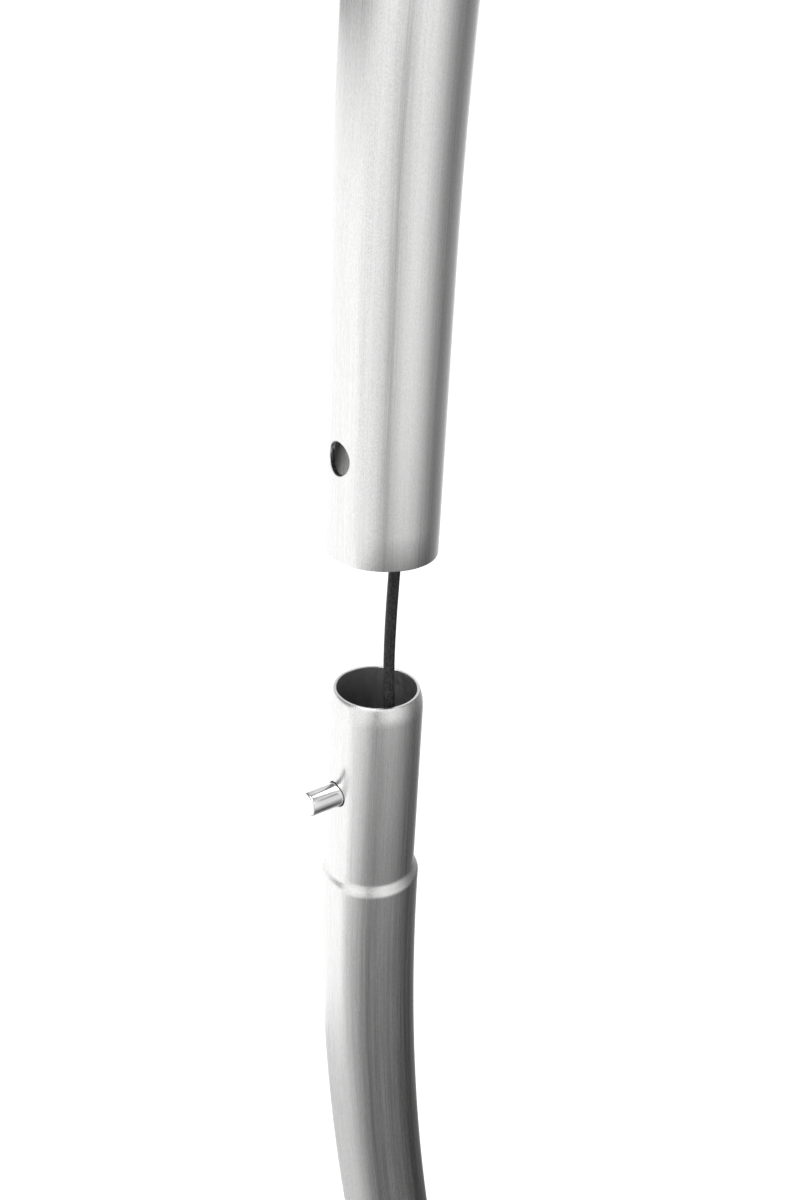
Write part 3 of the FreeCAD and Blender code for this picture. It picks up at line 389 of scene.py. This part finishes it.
def brushed(name, colour, roughness, depth=0.25, grain=True, anisotropic=0.0):
    """Metal with fine scratches along the grain that its mesh carries, or fine specks if it has none."""
    n = Nodes(name)
    n.set(Metallic=1.0, IOR=1.45, Anisotropic=anisotropic)
    if grain:
        place = n.add("Attribute", attribute_name="grain").outputs["Vector"]
        fine = n.noise(n.stretched(place, (4.5, 4.5, 0.035)), 1.0, 5.0, 0.7)
        broad = n.noise(n.stretched(place, (1.1, 1.1, 0.006)), 1.0, 3.0, 0.6)
    else:
        place = n.add("TexCoord").outputs["Object"]
        fine = n.noise(place, 2600.0, 3.0)
        broad = n.noise(place, 60.0, 3.0)
    speck = n.noise(n.add("TexCoord").outputs["Object"], 3200.0, 2.0, 0.5)
    darker = tuple(c * 0.88 for c in colour)
    tint = n.blend_colour(n.ramp(fine, 0, 1, 0.35, 0.65), darker, colour)
    mixed = n.add("Mix", data_type="RGBA", blend_type="MULTIPLY")
    mixed.inputs["Factor"].default_value = 1.0
    n.join(tint, mixed.inputs[6])
    n.join(n.blend_colour(n.ramp(speck, 0, 1, 0.3, 0.7), (0.86,) * 3, (1.0,) * 3), mixed.inputs[7])
    n.join(mixed.outputs[2], n.shader.inputs["Base Color"])
    both = n.add("Math", operation="ADD")
    n.join(n.ramp(fine, -0.05, 0.07, 0.3, 0.7), both.inputs[0])
    n.join(n.ramp(broad, roughness - 0.04, roughness + 0.05, 0.3, 0.7), both.inputs[1])
    n.join(both.outputs["Value"], n.shader.inputs["Roughness"])
    n.bump(fine, depth, 0.00002)
    return n.material


def plain(
    name, colour, roughness, metallic=0.0, scale=900.0, depth=0.25, distance=0.00004, dark=0.78, **more
):
    """A finish with a little uneven colour, gloss and relief at one scale, in parts of a metre."""
    n = Nodes(name)
    n.set(Metallic=metallic, **more)
    place = n.add("TexCoord").outputs["Object"]
    fine = n.noise(place, scale, 4.0)
    broad = n.noise(place, scale / 40, 3.0)
    darker = tuple(c * dark for c in colour)
    n.join(n.blend_colour(n.ramp(broad, 0, 1, 0.35, 0.65), darker, colour), n.shader.inputs["Base Color"])
    n.join(n.ramp(fine, roughness - 0.07, roughness + 0.07, 0.3, 0.7), n.shader.inputs["Roughness"])
    n.bump(fine, depth, distance)
    return n.material


def flex_material():
    """Matte dark sheath with the faint cross ribs of its extrusion."""
    n = Nodes("flex_sheath")
    n.set(Specular_IOR_Level=0.2)
    place = n.add("Attribute", attribute_name="grain").outputs["Vector"]
    weave = n.noise(n.stretched(place, (2.2, 2.2, 1.6)), 1.0, 3.0, 0.6)
    fine = n.noise(n.stretched(place, (6.0, 6.0, 6.0)), 1.0, 2.0, 0.5)
    sheath = n.blend_colour(n.ramp(weave, 0, 1, 0.38, 0.66), (0.006,) * 3, (0.035,) * 3)
    n.join(sheath, n.shader.inputs["Base Color"])
    n.join(n.ramp(fine, 0.42, 0.7, 0.3, 0.7), n.shader.inputs["Roughness"])
    first = n.bump(fine, 0.35, 0.00006)
    n.bump(weave, 0.5, 0.00012, first)
    return n.material


def glass_material():
    n = Nodes("clear_glass")
    n.set(Base_Color=(1, 1, 1, 1), Roughness=0.02, IOR=1.47, Transmission_Weight=1.0)
    return n.material


def filament_material():
    n = Nodes("filament_coating")
    n.set(Base_Color=(0.85, 0.62, 0.22, 1), Roughness=0.6)
    place = n.add("TexCoord").outputs["Object"]
    beads = n.noise(place, 1500.0, 2.0)
    n.join(n.blend_colour(n.ramp(beads, 0, 1, 0.35, 0.65), (0.75, 0.5, 0.15), (0.95, 0.74, 0.32)),
           n.shader.inputs["Base Color"])
    n.bump(beads, 0.4, 0.0001)
    return n.material


FINISH = {
    "pole_metal": brushed("pole_brushed", (0.92, 0.92, 0.915), 0.25),
    "base_metal": brushed("base_brushed", (0.72, 0.72, 0.715), 0.27),
    "shade_metal": brushed("shade_brushed", (0.76, 0.76, 0.755), 0.25),
    "fitting_metal": brushed("fitting_satin", (0.74, 0.74, 0.735), 0.24, grain=False),
    "pin_chrome": plain("pin_chrome", (0.93, 0.93, 0.93), 0.09, 1.0, 1500.0, 0.05),
    "spring_steel": plain("spring_steel", (0.30, 0.31, 0.34), 0.35, 1.0),
    "screw_steel": plain("screw_steel", (0.52, 0.52, 0.53), 0.28, 1.0),
    "weight_iron": plain("weight_iron", (0.035, 0.035, 0.037), 0.62, 0.2, 500.0, 0.6, 0.0002),
    "pad_rubber": plain("pad_rubber", (0.03, 0.03, 0.031), 0.8, 0.0, 1200.0, 0.5, 0.0001),
    "flex_sheath": flex_material(),
    "black_plastic": plain("black_plastic", (0.028, 0.028, 0.03), 0.42, 0.0, 2200.0, 0.35, 0.00005),
    "contact_brass": plain("contact_brass", (0.72, 0.50, 0.20), 0.25, 1.0),
    "holder_ceramic": plain("holder_ceramic", (0.82, 0.80, 0.75), 0.55, 0.0, 1600.0, 0.3),
    "bulb_glass": glass_material(),
    "cap_metal": plain("cap_metal", (0.75, 0.75, 0.76), 0.3, 1.0),
    "filament": filament_material(),
}
# Painted shade: the lower tube's bore takes a darker grey metal that stands in for the shade inside the open tube.
BORE_PAINTED_SHADE = plain("pole_bore_painted_shade", (0.40, 0.40, 0.40), 0.55, 1.0)
SHADE_WHITE = plain("shade_white", (0.86, 0.86, 0.85), 0.45, 0.0, 1400.0, 0.15, dark=0.96)

SLOT_OF = {part["node"]: part["material_slot"] for part in frame["record"]["subparts"]}
for node, cad in frame["nodes"].items():
    cad.data.materials.clear()
    cad.data.materials.append(FINISH[SLOT_OF[node]])


def dress(piece, body, *nodes, slot=None, finishes=None):
    """The piece rides on a body, stands for CAD nodes, and takes a slot's finish or several materials."""
    slot = slot or SLOT_OF[nodes[0]]
    for finish in finishes or [FINISH[slot]]:
        piece.data.materials.append(finish)
    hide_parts(*nodes)
    if body:
        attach(piece, body)
    return piece


# ---- pole ----

RIM_EDGE, RIM_LIP, RIM_STRAIGHT = 0.15, 0.1, 0.8


def neck_outline(low, high):
    """The swaged neck from outside its shoulder over the rim to inside it, between two places on its line."""
    shoulder = low + SHOULDER_LENGTH
    return swage(low, TUBE_R, NECK_R) + [
        (high - RIM_TALL, NECK_R),
        *rim_arc(high),
        (high, RIM_R - RIM_EDGE),
        (high, RIM_BORE_R + RIM_LIP),
        (high - RIM_LIP, RIM_BORE_R),
        (high - RIM_STRAIGHT, RIM_BORE_R),
        (high - RIM_TALL, NECK_BORE_R),
        (shoulder, NECK_BORE_R),
    ] + swage(low, BORE_R, NECK_BORE_R)[::-1]


def swage(low, big, small):
    """An S curve from the full tube to the neck, steepest in its middle and flat at both ends."""
    steps, flat, bend = 16, 0.18, 0.64
    made = []
    for k in range(steps + 1):
        share = k / steps
        smooth = (1 - math.cos(math.pi * min(1, max(0, (share - flat) / bend)))) / 2
        made.append((low + SHOULDER_LENGTH * share, big + (small - big) * smooth))
    return made


def rim_arc(high):
    """The neck's gentle draw-in to its rim."""
    tall, step, steps = RIM_TALL - RIM_EDGE, NECK_R - RIM_R, 6
    radius = (tall**2 + step**2) / (2 * step)
    turns = [math.asin(tall / radius) * k / steps for k in range(1, steps + 1)]
    return [(high - RIM_TALL + radius * math.sin(t), NECK_R - radius * (1 - math.cos(t))) for t in turns]


def make_poles():
    around = 128
    neck_low = LOWER_LONG - NECK_END
    outline = [(0, TUBE_R)] + neck_outline(neck_low, LOWER_LONG) + [(0, BORE_R)]
    pin_at = LOWER_LONG - PIN_BELOW_RIM
    bore = next(i for i, point in enumerate(outline) if point[1] <= RIM_BORE_R)
    hole = [(pin_at, PIN_TURN, PIN_HOLE_R)]
    # Faces from the rim's inner lip down take the darker bore material, which is painted shade inside the tube.
    lower = turned("lower_pole_tube", lower_line, outline, around, hole, inside=bore)
    dress(lower, "stand", "lower_pole", finishes=[FINISH["pole_metal"], BORE_PAINTED_SHADE])

    mouth = [(0.3, BORE_R), (0.05, BORE_R + 0.2), (0, BORE_R + 0.35), (0, TUBE_R - 0.35), (0.1, TUBE_R - 0.1)]
    mouth.append((0.35, TUBE_R))
    button_at = NECK_LENGTH - PIN_BELOW_RIM
    neck_low = MIDDLE_LONG - NECK_END
    outline = mouth + neck_outline(neck_low, MIDDLE_LONG)
    holes = [(button_at, PIN_TURN, BUTTON_HOLE_R), (MIDDLE_LONG - PIN_BELOW_RIM, PIN_TURN, PIN_HOLE_R)]
    middle = turned("middle_pole_tube", middle_line, outline, around, holes)
    dress(middle, "middle", "middle_pole")

    outline = mouth + [(ARM_LONG, TUBE_R), (ARM_LONG, BORE_R)]
    arm = turned("arm_pole_tube", arm_line, outline, around, [(button_at, PIN_TURN, BUTTON_HOLE_R)])
    dress(arm, "arm", "arm_tube")


def pin_line(rim, lean):
    """A line along a snap pin, outwards from the tube's middle."""
    turn = math.radians(PIN_TURN)
    across = leant(math.cos(turn), 0, lean) + Vector((0, math.sin(turn), 0))
    middle = rim - leant(0, PIN_BELOW_RIM, lean)
    side = leant(0, 1, lean)
    other = across.cross(side)
    return middle, across, side, other


def make_pin(name, body, node, rim, lean):
    """A polished round pin with a softly rounded end and its head inside the neck."""
    middle, across, side, other = pin_line(rim, lean)
    tip = NECK_R + PIN_STANDS_OUT
    outline = rounded([
        (8.2, 0, 0), (8.2, 4.0, 0.15), (9.0, 4.0, 0.15), (9.0, PIN_R, 0.1), (tip, PIN_R, 0.55), (tip, 0, 0),
    ], 6)
    piece = turned(name, upright(), outline, 64, longest=2.0, closed=False, grain="round")
    for vertex in piece.data.vertices:
        at = vertex.co / MM
        vertex.co = (middle + across * at.z + side * at.x + other * at.y) * MM
    finish_mesh(piece)
    dress(piece, body, node)


make_poles()
make_pin("lower_pin", "lower_pin", "lower_snap_pin", Vector((NECK_X, 0, RIM_Z)), 0)
make_pin("upper_pin", "upper_pin", "upper_snap_pin", UPPER_RIM, MIDDLE_LEAN)


# ---- flex ----

FLEX_WIDE, FLEX_THICK = 5.6, 2.8
GAP_ROUTE = [
    (-200.8, 0, 461.7), (-202.3, 0, 483.7), (-199.5, -3.64, 500), (-198, -5.2, 522), (-198, -5.2, 543),
    (-198, -5.2, 564), (-199.6, -4.0, 582), (-200.1, -2.7, 598), (-199.4, -1.3, 624), (-203, 0, 648),
    (-203, 0, 674),
]


def route_path(route, name):
    """The points of the smooth line that a route's control points make, in mm."""
    curve = bpy.data.curves.new(name, "CURVE")
    curve.dimensions = "3D"
    curve.resolution_u = 12
    spline = curve.splines.new("NURBS")
    spline.points.add(len(route) - 1)
    for point, (x, y, z) in zip(spline.points, route):
        point.co = (x * MM, y * MM, z * MM, 1)
    spline.order_u = 3
    spline.use_endpoint_u = True
    holder = bpy.data.objects.new(name, curve)
    bpy.context.scene.collection.objects.link(holder)
    bpy.context.view_layer.update()
    mesh = bpy.data.meshes.new_from_object(holder)
    line = [vertex.co / MM for vertex in mesh.vertices]
    bpy.data.objects.remove(holder)
    bpy.data.curves.remove(curve)
    bpy.data.meshes.remove(mesh)
    return [p for i, p in enumerate(line) if i == 0 or (p - line[i - 1]).length > 1e-6]


def flex_section(steps=28):
    """A flat twin flex's outline: two round cores side by side, with a shallow groove between them."""
    made = []
    for k in range(steps):
        turn = 2 * math.pi * k / steps
        wide = FLEX_WIDE / 2 * math.copysign(abs(math.cos(turn)) ** 0.8, math.cos(turn))
        thick = FLEX_THICK / 2 * math.copysign(abs(math.sin(turn)) ** 0.55, math.sin(turn))
        groove = 1 - 0.16 * math.exp(-((wide / 0.7) ** 2))
        made.append((wide, thick * groove))
    return made


def make_flex(name, path, wide_at):
    """A flat flex along a path. wide_at gives the direction of its wide side from the distance along it."""
    section = flex_section()
    points, grains, faces = [], [], []
    run = 0.0
    for i, place in enumerate(path):
        before, after = path[max(i - 1, 0)], path[min(i + 1, len(path) - 1)]
        run += (place - before).length
        ahead = (after - before).normalized()
        wide = wide_at(run, ahead)
        wide = (wide - ahead * wide.dot(ahead)).normalized()
        thick = ahead.cross(wide)
        for w, t in section:
            points.append(place + wide * w + thick * t)
            grains.append((w, t, run))
    around = len(section)
    for i in range(len(path) - 1):
        for j in range(around):
            k = (j + 1) % around
            faces.append((i * around + j, i * around + k, (i + 1) * around + k, (i + 1) * around + j))
    faces.append(tuple(range(around))[::-1])
    faces.append(tuple(range(len(points) - around, len(points))))
    return finish_mesh(mesh_object(name, points, faces, grains, [0] * len(faces)))


def make_gap_flex():
    """The flex across the open joint, edge on to the camera."""
    path = route_path(GAP_ROUTE, "gap_route")
    edge_on = Vector((math.sin(CAMERA_TURN), -math.cos(CAMERA_TURN), 0))
    piece = make_flex("flex_across_joint", path, lambda run, ahead: edge_on)
    dress(piece, None, "gap_flex")
    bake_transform(piece)


LEAD_IN = [
    (-178, 0, 7), (-205, -4, 3.6), (-228, -28, 1.6), (-232, -66, 1.5), (-212, -112, 1.5), (-168, -156, 1.5),
    (-108, -184, 1.5), (-40, -198, 1.5), (30, -196, 1.5), (96, -178, 1.5), (148, -147, 1.5), (180, -119, 4.0),
    (206.6, -99.95, 8), (262, -82, 8), (317.4, -64.05, 8), (348, -54, 4.0), (386, -38, 2.2), (430, -15, 3.0),
]
LEAD_OUT = [(446, 59.4, 8.4), (422, 62.6, 7.4), (398, 67, 7)]
COIL_CENTRE, COIL_TURNS, COIL_STEPS = (470.0, 25.0), 5.5, 14
COIL_IN_TURNS, COIL_UP_TURNS = 2.5, 3.0
COIL_OUTER_R, COIL_INNER_R, COIL_LOW, COIL_HIGH, COIL_REACH = 34.0, 26.0, 2.95, 8.6, 38.0
LIFT_BEFORE, LIFT_AFTER = 45.0, 30.0


def coil_route():
    """The put-away coil's turns: in and up on the inside, then out again on top of them."""
    made = []
    stages = (0, COIL_IN_TURNS, COIL_UP_TURNS, COIL_TURNS)
    radii = (COIL_OUTER_R, COIL_INNER_R, COIL_INNER_R, COIL_OUTER_R)
    for k in range(int(COIL_TURNS * COIL_STEPS) + 1):
        turns = k / COIL_STEPS
        r = float(np.interp(turns, stages, radii))
        z = float(np.interp(turns, (COIL_IN_TURNS, COIL_UP_TURNS), (COIL_LOW, COIL_HIGH)))
        angle = math.radians(-90 + 360 * turns)
        made.append((COIL_CENTRE[0] + r * math.cos(angle), COIL_CENTRE[1] + r * math.sin(angle), z))
    return made


def make_lead():
    """The lead on the floor, flat, and on edge in its coil."""
    path = route_path(LEAD_IN + coil_route() + LEAD_OUT, "lead_route")
    near = [i for i, p in enumerate(path) if math.dist(p[:2], COIL_CENTRE) < COIL_REACH]
    runs = [0.0]
    for a, b in zip(path, path[1:]):
        runs.append(runs[-1] + (b - a).length)
    stops = (runs[near[0]] - LIFT_BEFORE, runs[near[0]], runs[near[-1]], runs[near[-1]] + LIFT_AFTER)

    def wide_at(run, ahead):
        lift = math.radians(float(np.interp(run, stops, (0, 90, 90, 0))))
        side = Vector((-ahead.y, ahead.x, 0)).normalized()
        return side * math.cos(lift) + Vector((0, 0, math.sin(lift)))

    piece = make_flex("lead", path, wide_at)
    dress(piece, "stand", "lead_to_switch", "lead_from_switch", "lead_coil", "lead_to_plug")


make_gap_flex()
make_lead()


# ---- base and head ----

COVER_R, COVER_TOP, COVER_WALL, COVER_EDGE_R, COVER_LOW = 150.0, 26.0, 1.2, 12.0, 1.5
NOTCH_WIDE, NOTCH_TOP, NOTCH_OUT, NOTCH_IN = 9.0, 11.5, 5.0, 6.0
FLEX_HOLE_R, FLEX_HOLE_AHEAD, FLEX_CUT_LOW, FLEX_CUT_TOP = 8.0, 3.0, 15.0, 40.0
SHADE_R, SHADE_WALL, SHADE_DROP, HEM, HEM_WIDE = 150.0, 1.0, 222.0, 1.2, 2.0
CUP_R, CUP_TOP, CUP_VENTS, VENT_R, VENT_BELOW_TOP = 29.0, 28.0, 12, 2.5, 14.0
NIPPLE_R, CUP_FIT = 5.0, 0.05


def cut_away(piece, points, faces):
    """Cuts a closed shape, given in mm, out of a piece."""
    cutter = mesh_object("cutter", points, faces)
    change = piece.modifiers.new("cut", "BOOLEAN")
    change.operation, change.object, change.solver = "DIFFERENCE", cutter, "EXACT"
    bpy.context.view_layer.update()
    made = bpy.data.meshes.new_from_object(piece.evaluated_get(bpy.context.evaluated_depsgraph_get()))
    piece.modifiers.clear()
    piece.data = made
    bpy.data.objects.remove(cutter)


def prism(corners, low, high):
    """The points and faces of an upright prism over corners (x, y)."""
    count = len(corners)
    points = [(x, y, z) for z in (low, high) for x, y in corners]
    faces = [tuple(range(count))[::-1], tuple(range(count, 2 * count))]
    faces += [(i, (i + 1) % count, count + (i + 1) % count, count + i) for i in range(count)]
    return points, faces


def make_cover():
    """The base's spun cover, with the cord's notch at its back edge and the flex's hole."""
    inner = COVER_R - COVER_WALL
    outline = rounded([
        (COVER_LOW, inner, 0.3), (COVER_LOW, COVER_R, 0.3), (COVER_TOP, COVER_R, COVER_EDGE_R),
        (COVER_TOP, 0, 0),
        (COVER_TOP - COVER_WALL, 0, 0), (COVER_TOP - COVER_WALL, inner, COVER_EDGE_R - COVER_WALL),
    ], 12)
    piece = turned("base_cover_spun", upright(), outline, 192, longest=6.0, grain="round")
    half, out, into = NOTCH_WIDE / 2, -COVER_R - NOTCH_OUT, -COVER_R + NOTCH_IN
    cut_away(piece, *prism([(out, -half), (into, -half), (into, half), (out, half)], -5, NOTCH_TOP))
    x, sides = FOOT_END.x + FLEX_HOLE_AHEAD, 48
    turns = [2 * math.pi * k / sides for k in range(sides)]
    ring = [(x + FLEX_HOLE_R * math.cos(t), FLEX_HOLE_R * math.sin(t)) for t in turns]
    cut_away(piece, *prism(ring, FLEX_CUT_LOW, FLEX_CUT_TOP))
    finish_mesh(piece)
    dress(piece, "stand", "base_cover")


def dome_arc(radius, low, high, steps=44):
    """Points up the dome, from one angle above its rim to another."""
    rim = PIVOT.z - SHADE_DROP
    angles = [low + (high - low) * k / steps for k in range(steps + 1)]
    return [(rim + radius * math.sin(a), radius * math.cos(a)) for a in angles]


def make_shade():
    """The dome: brushed outside, white inside, with its turned-in hem."""
    rim, hole, inner = PIVOT.z - SHADE_DROP, CUP_R + CUP_FIT, SHADE_R - SHADE_WALL
    outer = dome_arc(SHADE_R, math.asin(0.4 / SHADE_R), math.acos(hole / SHADE_R))
    inside = dome_arc(inner, math.acos(hole / inner), math.asin(HEM / inner))
    hem = [(rim + HEM, inner - HEM_WIDE + 0.3), (rim + HEM - 0.3, inner - HEM_WIDE)]
    hem += [(rim + 0.3, inner - HEM_WIDE), (rim, inner - HEM_WIDE + 0.3)]
    outline = [(rim, SHADE_R - 0.4), (rim + 0.12, SHADE_R - 0.12)] + outer + inside + hem
    white = len(outer) + 2
    piece = turned("shade_dome", upright(PIVOT.x), outline, 192, longest=9.0, grain="round", inside=white)
    dress(piece, "head", "shade", finishes=[FINISH["shade_metal"], SHADE_WHITE])


def make_cup():
    """The vented cup that carries the dome."""
    top, inner = PIVOT.z - CUP_TOP, CUP_R - SHADE_WALL
    hole, drop = CUP_R + CUP_FIT, PIVOT.z - SHADE_DROP
    bead = drop + math.sqrt(SHADE_R**2 - hole**2) + 0.02
    low = drop + math.sqrt((SHADE_R - SHADE_WALL)**2 - hole**2) - 1.5
    outline = rounded([
        (low, CUP_R, 0.2), (bead, CUP_R, 0), (bead, CUP_R + 1.4, 0.3), (bead + 0.8, CUP_R + 1.4, 0.3),
        (bead + 1.8, CUP_R, 0.3), (top, CUP_R, 3.0), (top, NIPPLE_R + 0.1, 0.2),
        (top - SHADE_WALL, NIPPLE_R + 0.1, 0.2), (top - SHADE_WALL, inner, 2.0), (low, inner, 0.2),
    ], 6)
    vents = [(top - VENT_BELOW_TOP, 360 * k / CUP_VENTS, VENT_R) for k in range(CUP_VENTS)]
    piece = turned("shade_cup_spun", upright(PIVOT.x), outline, 144, vents, longest=5.0, grain="round")
    dress(piece, "head", "shade_cup")


make_cover()
make_shade()
make_cup()


# ---- copies of the springs and the joint's flex, in place of their CAD parts ----


def bending(node):
    """A copy of a CAD part in its place, standing in for it."""
    cad = frame["nodes"][node]
    piece = bpy.data.objects.new(f"{node}_bending", cad.data.copy())
    piece.matrix_world = cad.matrix_world
    bpy.context.scene.collection.objects.link(piece)
    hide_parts(node)
    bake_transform(piece)


def make_spring(node):
    """A snap spring, copied from its CAD part."""
    bending(node)


make_spring("lower_snap_spring")
make_spring("upper_snap_spring")
bending("joint_flex")


# ---- camera, light and floor ----

CAMERA_PAN, CAMERA_PITCH, CAMERA_ROLL = -0.0203, 0.4519, 0.0487
CAMERA_LENS = 32.4


def make_camera():
    """Close to the open joint, looking down on it from the front."""
    heading = CAMERA_TURN + CAMERA_PAN
    forward = Vector((
        -math.sin(heading) * math.cos(CAMERA_PITCH),
        math.cos(heading) * math.cos(CAMERA_PITCH),
        -math.sin(CAMERA_PITCH),
    ))
    right = Vector((math.cos(heading), math.sin(heading), 0))
    up = right.cross(forward)
    c, s = math.cos(CAMERA_ROLL), math.sin(CAMERA_ROLL)
    right, up = right * c + up * s, up * c - right * s
    data = bpy.data.cameras.new("camera")
    data.lens, data.sensor_width = CAMERA_LENS, 36.0
    data.clip_start = 0.01
    camera = bpy.data.objects.new("camera", data)
    place = Vector((
        NECK_X + CAMERA_BACK * math.sin(CAMERA_TURN), -CAMERA_BACK * math.cos(CAMERA_TURN), RIM_Z + CAMERA_UP
    )) * MM
    camera.matrix_world = Matrix.Translation(place) @ Matrix((right, up, -forward)).transposed().to_4x4()
    bpy.context.scene.collection.objects.link(camera)
    bpy.context.scene.camera = camera


def make_floor():
    mesh = bpy.data.meshes.new("floor")
    half = 40.0
    corners = [(-half, -half, 0), (half, -half, 0), (half, half, 0), (-half, half, 0)]
    mesh.from_pydata(corners, [], [(0, 1, 2, 3)])
    floor = bpy.data.objects.new("floor", mesh)
    n = Nodes("pale_floor")
    n.set(Base_Color=(0.92, 0.92, 0.92, 1), Roughness=0.7, Specular_IOR_Level=0.2)
    mesh.materials.append(n.material)
    bpy.context.scene.collection.objects.link(floor)


# How bright the mat and the flag are, by turn to the right of the main camera in degrees. This
# isn't plain studio
# light: the numbers were set to bring the tubes' light and dark bands near the photograph's.
GLOW_TURNS = (-180, -60, -30, -10, 0, 12, 35, 60, 90, 110, 140, 165, 180)
GLOW_LEVEL = (1.0, 1.0, 0.97, 0.80, 0.33, 0.70, 0.98, 0.75, 0.27, 0.18, 0.4, 1.0, 1.0)
GLOW_MIDDLE = (1.0, 1.0, 0.95, 0.60, 0.33, 0.42, 0.58, 0.50, 0.19, 0.12, 0.3, 0.8, 1.0)
GLOW_BELOW = (1.0, 1.0, 0.75, 0.42, 0.31, 0.31, 0.38, 0.33, 0.14, 0.07, 0.15, 0.6, 1.0)
GLOW_FLOOR = (0.65, 0.65, 0.38, 0.20, 0.13, 0.13, 0.14, 0.11, 0.04, 0.03, 0.1, 0.4, 0.65)
GLOW_ROWS = ((0.06, GLOW_FLOOR), (0.29, GLOW_BELOW), (0.40, GLOW_MIDDLE), (0.52, GLOW_LEVEL))
FLAG_R, FLAG_TOP, FLAG_FROM, FLAG_TO = 0.42, 0.76, -60, 165


def glow_at(turn, z):
    levels = [float(np.interp(turn, GLOW_TURNS, row)) for height, row in GLOW_ROWS]
    return float(np.interp(z, [height for height, row in GLOW_ROWS], levels))


# How bright a ring of tall panels round the whole lamp is, by turn to the right of the main camera
WALL_TURNS = (-180, -165, -140, -70, -50, 50, 70, 140, 165, 180)
WALL_LEVEL = (0.95, 0.80, 0.20, 0.20, 1.0, 1.0, 0.20, 0.20, 0.80, 0.95)
WALL_MIDDLE, WALL_R, WALL_LOW, WALL_TOP = (0.4, 0.0), 2.6, 0.85, 3.2


def glow_wall(name, middle, rings, first, last, glow):
    """A curved grey wall of (radius, height) rings that only reflections see. glow is by turn and height."""
    turns = list(range(first, last + 1, 5))
    points, levels, faces = [], [], []
    for r, z in rings:
        for turn in turns:
            angle = CAMERA_TURN + math.radians(turn - 90)
            points.append((middle[0] + r * math.cos(angle), middle[1] + r * math.sin(angle), z))
            levels.append(glow(turn, z))
    wide = len(turns)
    for i in range(len(rings) - 1):
        for j in range(wide - 1):
            low = i * wide + j
            faces.append((low, low + 1, low + wide + 1, low + wide))
    mesh = bpy.data.meshes.new(name)
    mesh.from_pydata(points, [], faces)
    mesh.attributes.new("glow", "FLOAT", "POINT").data.foreach_set("value", levels)
    wall = bpy.data.objects.new(name, mesh)
    n = Nodes(name)
    light = n.add("Emission")
    n.join(n.add("Attribute", attribute_name="glow").outputs["Fac"], light.inputs["Strength"])
    n.join(light.outputs["Emission"], n.tree.nodes["Material Output"].inputs["Surface"])
    mesh.materials.append(n.material)
    bpy.context.scene.collection.objects.link(wall)
    wall.visible_camera = wall.visible_diffuse = wall.visible_shadow = wall.visible_transmission = False


def make_walls():
    """A flag and a mat close round the joint, and the panels round the lamp."""
    joint = (NECK_X * MM, 0.0)
    glow_wall("mat", joint, [(r, 0.001) for r in (0.03, 0.12, 0.27, FLAG_R)], -180, 180, glow_at)
    heights = [0.001 + (FLAG_TOP - 0.001) * k / 16 for k in range(17)]
    glow_wall("flag", joint, [(FLAG_R, z) for z in heights], FLAG_FROM, FLAG_TO, glow_at)
    panels = [(WALL_R, WALL_LOW), (WALL_R, WALL_TOP)]
    glow_wall("panels", WALL_MIDDLE, panels, -180, 180,
              lambda turn, z: float(np.interp(turn, WALL_TURNS, WALL_LEVEL)))


SUN_STRENGTH, SUN_SPREAD, SUN_FROM = 2.2, 50.0, (-0.45, -0.55, 1.0)
HORIZON_AT, HORIZON_GLOW, OVERHEAD_AT, OVERHEAD_GLOW = 0.5, 1.05, 0.9, 0.4


def make_light():
    """A bright horizon under a dimmer sky, and one wide soft lamp."""
    world = bpy.data.worlds.new("studio")
    bpy.context.scene.world = world
    world.use_nodes = True
    tree = world.node_tree
    place = tree.nodes.new("ShaderNodeTexCoord")
    split = tree.nodes.new("ShaderNodeSeparateXYZ")
    ramp = tree.nodes.new("ShaderNodeMapRange")
    ramp.inputs["From Min"].default_value, ramp.inputs["To Min"].default_value = HORIZON_AT, HORIZON_GLOW
    ramp.inputs["From Max"].default_value, ramp.inputs["To Max"].default_value = OVERHEAD_AT, OVERHEAD_GLOW
    tree.links.new(place.outputs["Generated"], split.inputs["Vector"])
    tree.links.new(split.outputs["Z"], ramp.inputs["Value"])
    tree.links.new(ramp.outputs["Result"], tree.nodes["Background"].inputs["Strength"])
    tree.nodes["Background"].inputs["Color"].default_value = (1, 1, 1, 1)
    data = bpy.data.lights.new("sky_lamp", "SUN")
    data.energy, data.angle = SUN_STRENGTH, math.radians(SUN_SPREAD)
    lamp = bpy.data.objects.new("sky_lamp", data)
    lamp.matrix_world = Vector(SUN_FROM).to_track_quat("Z", "Y").to_matrix().to_4x4()
    bpy.context.scene.collection.objects.link(lamp)


make_camera()
make_floor()
make_walls()
make_light()
bpy.context.scene.view_settings.view_transform = "Standard"
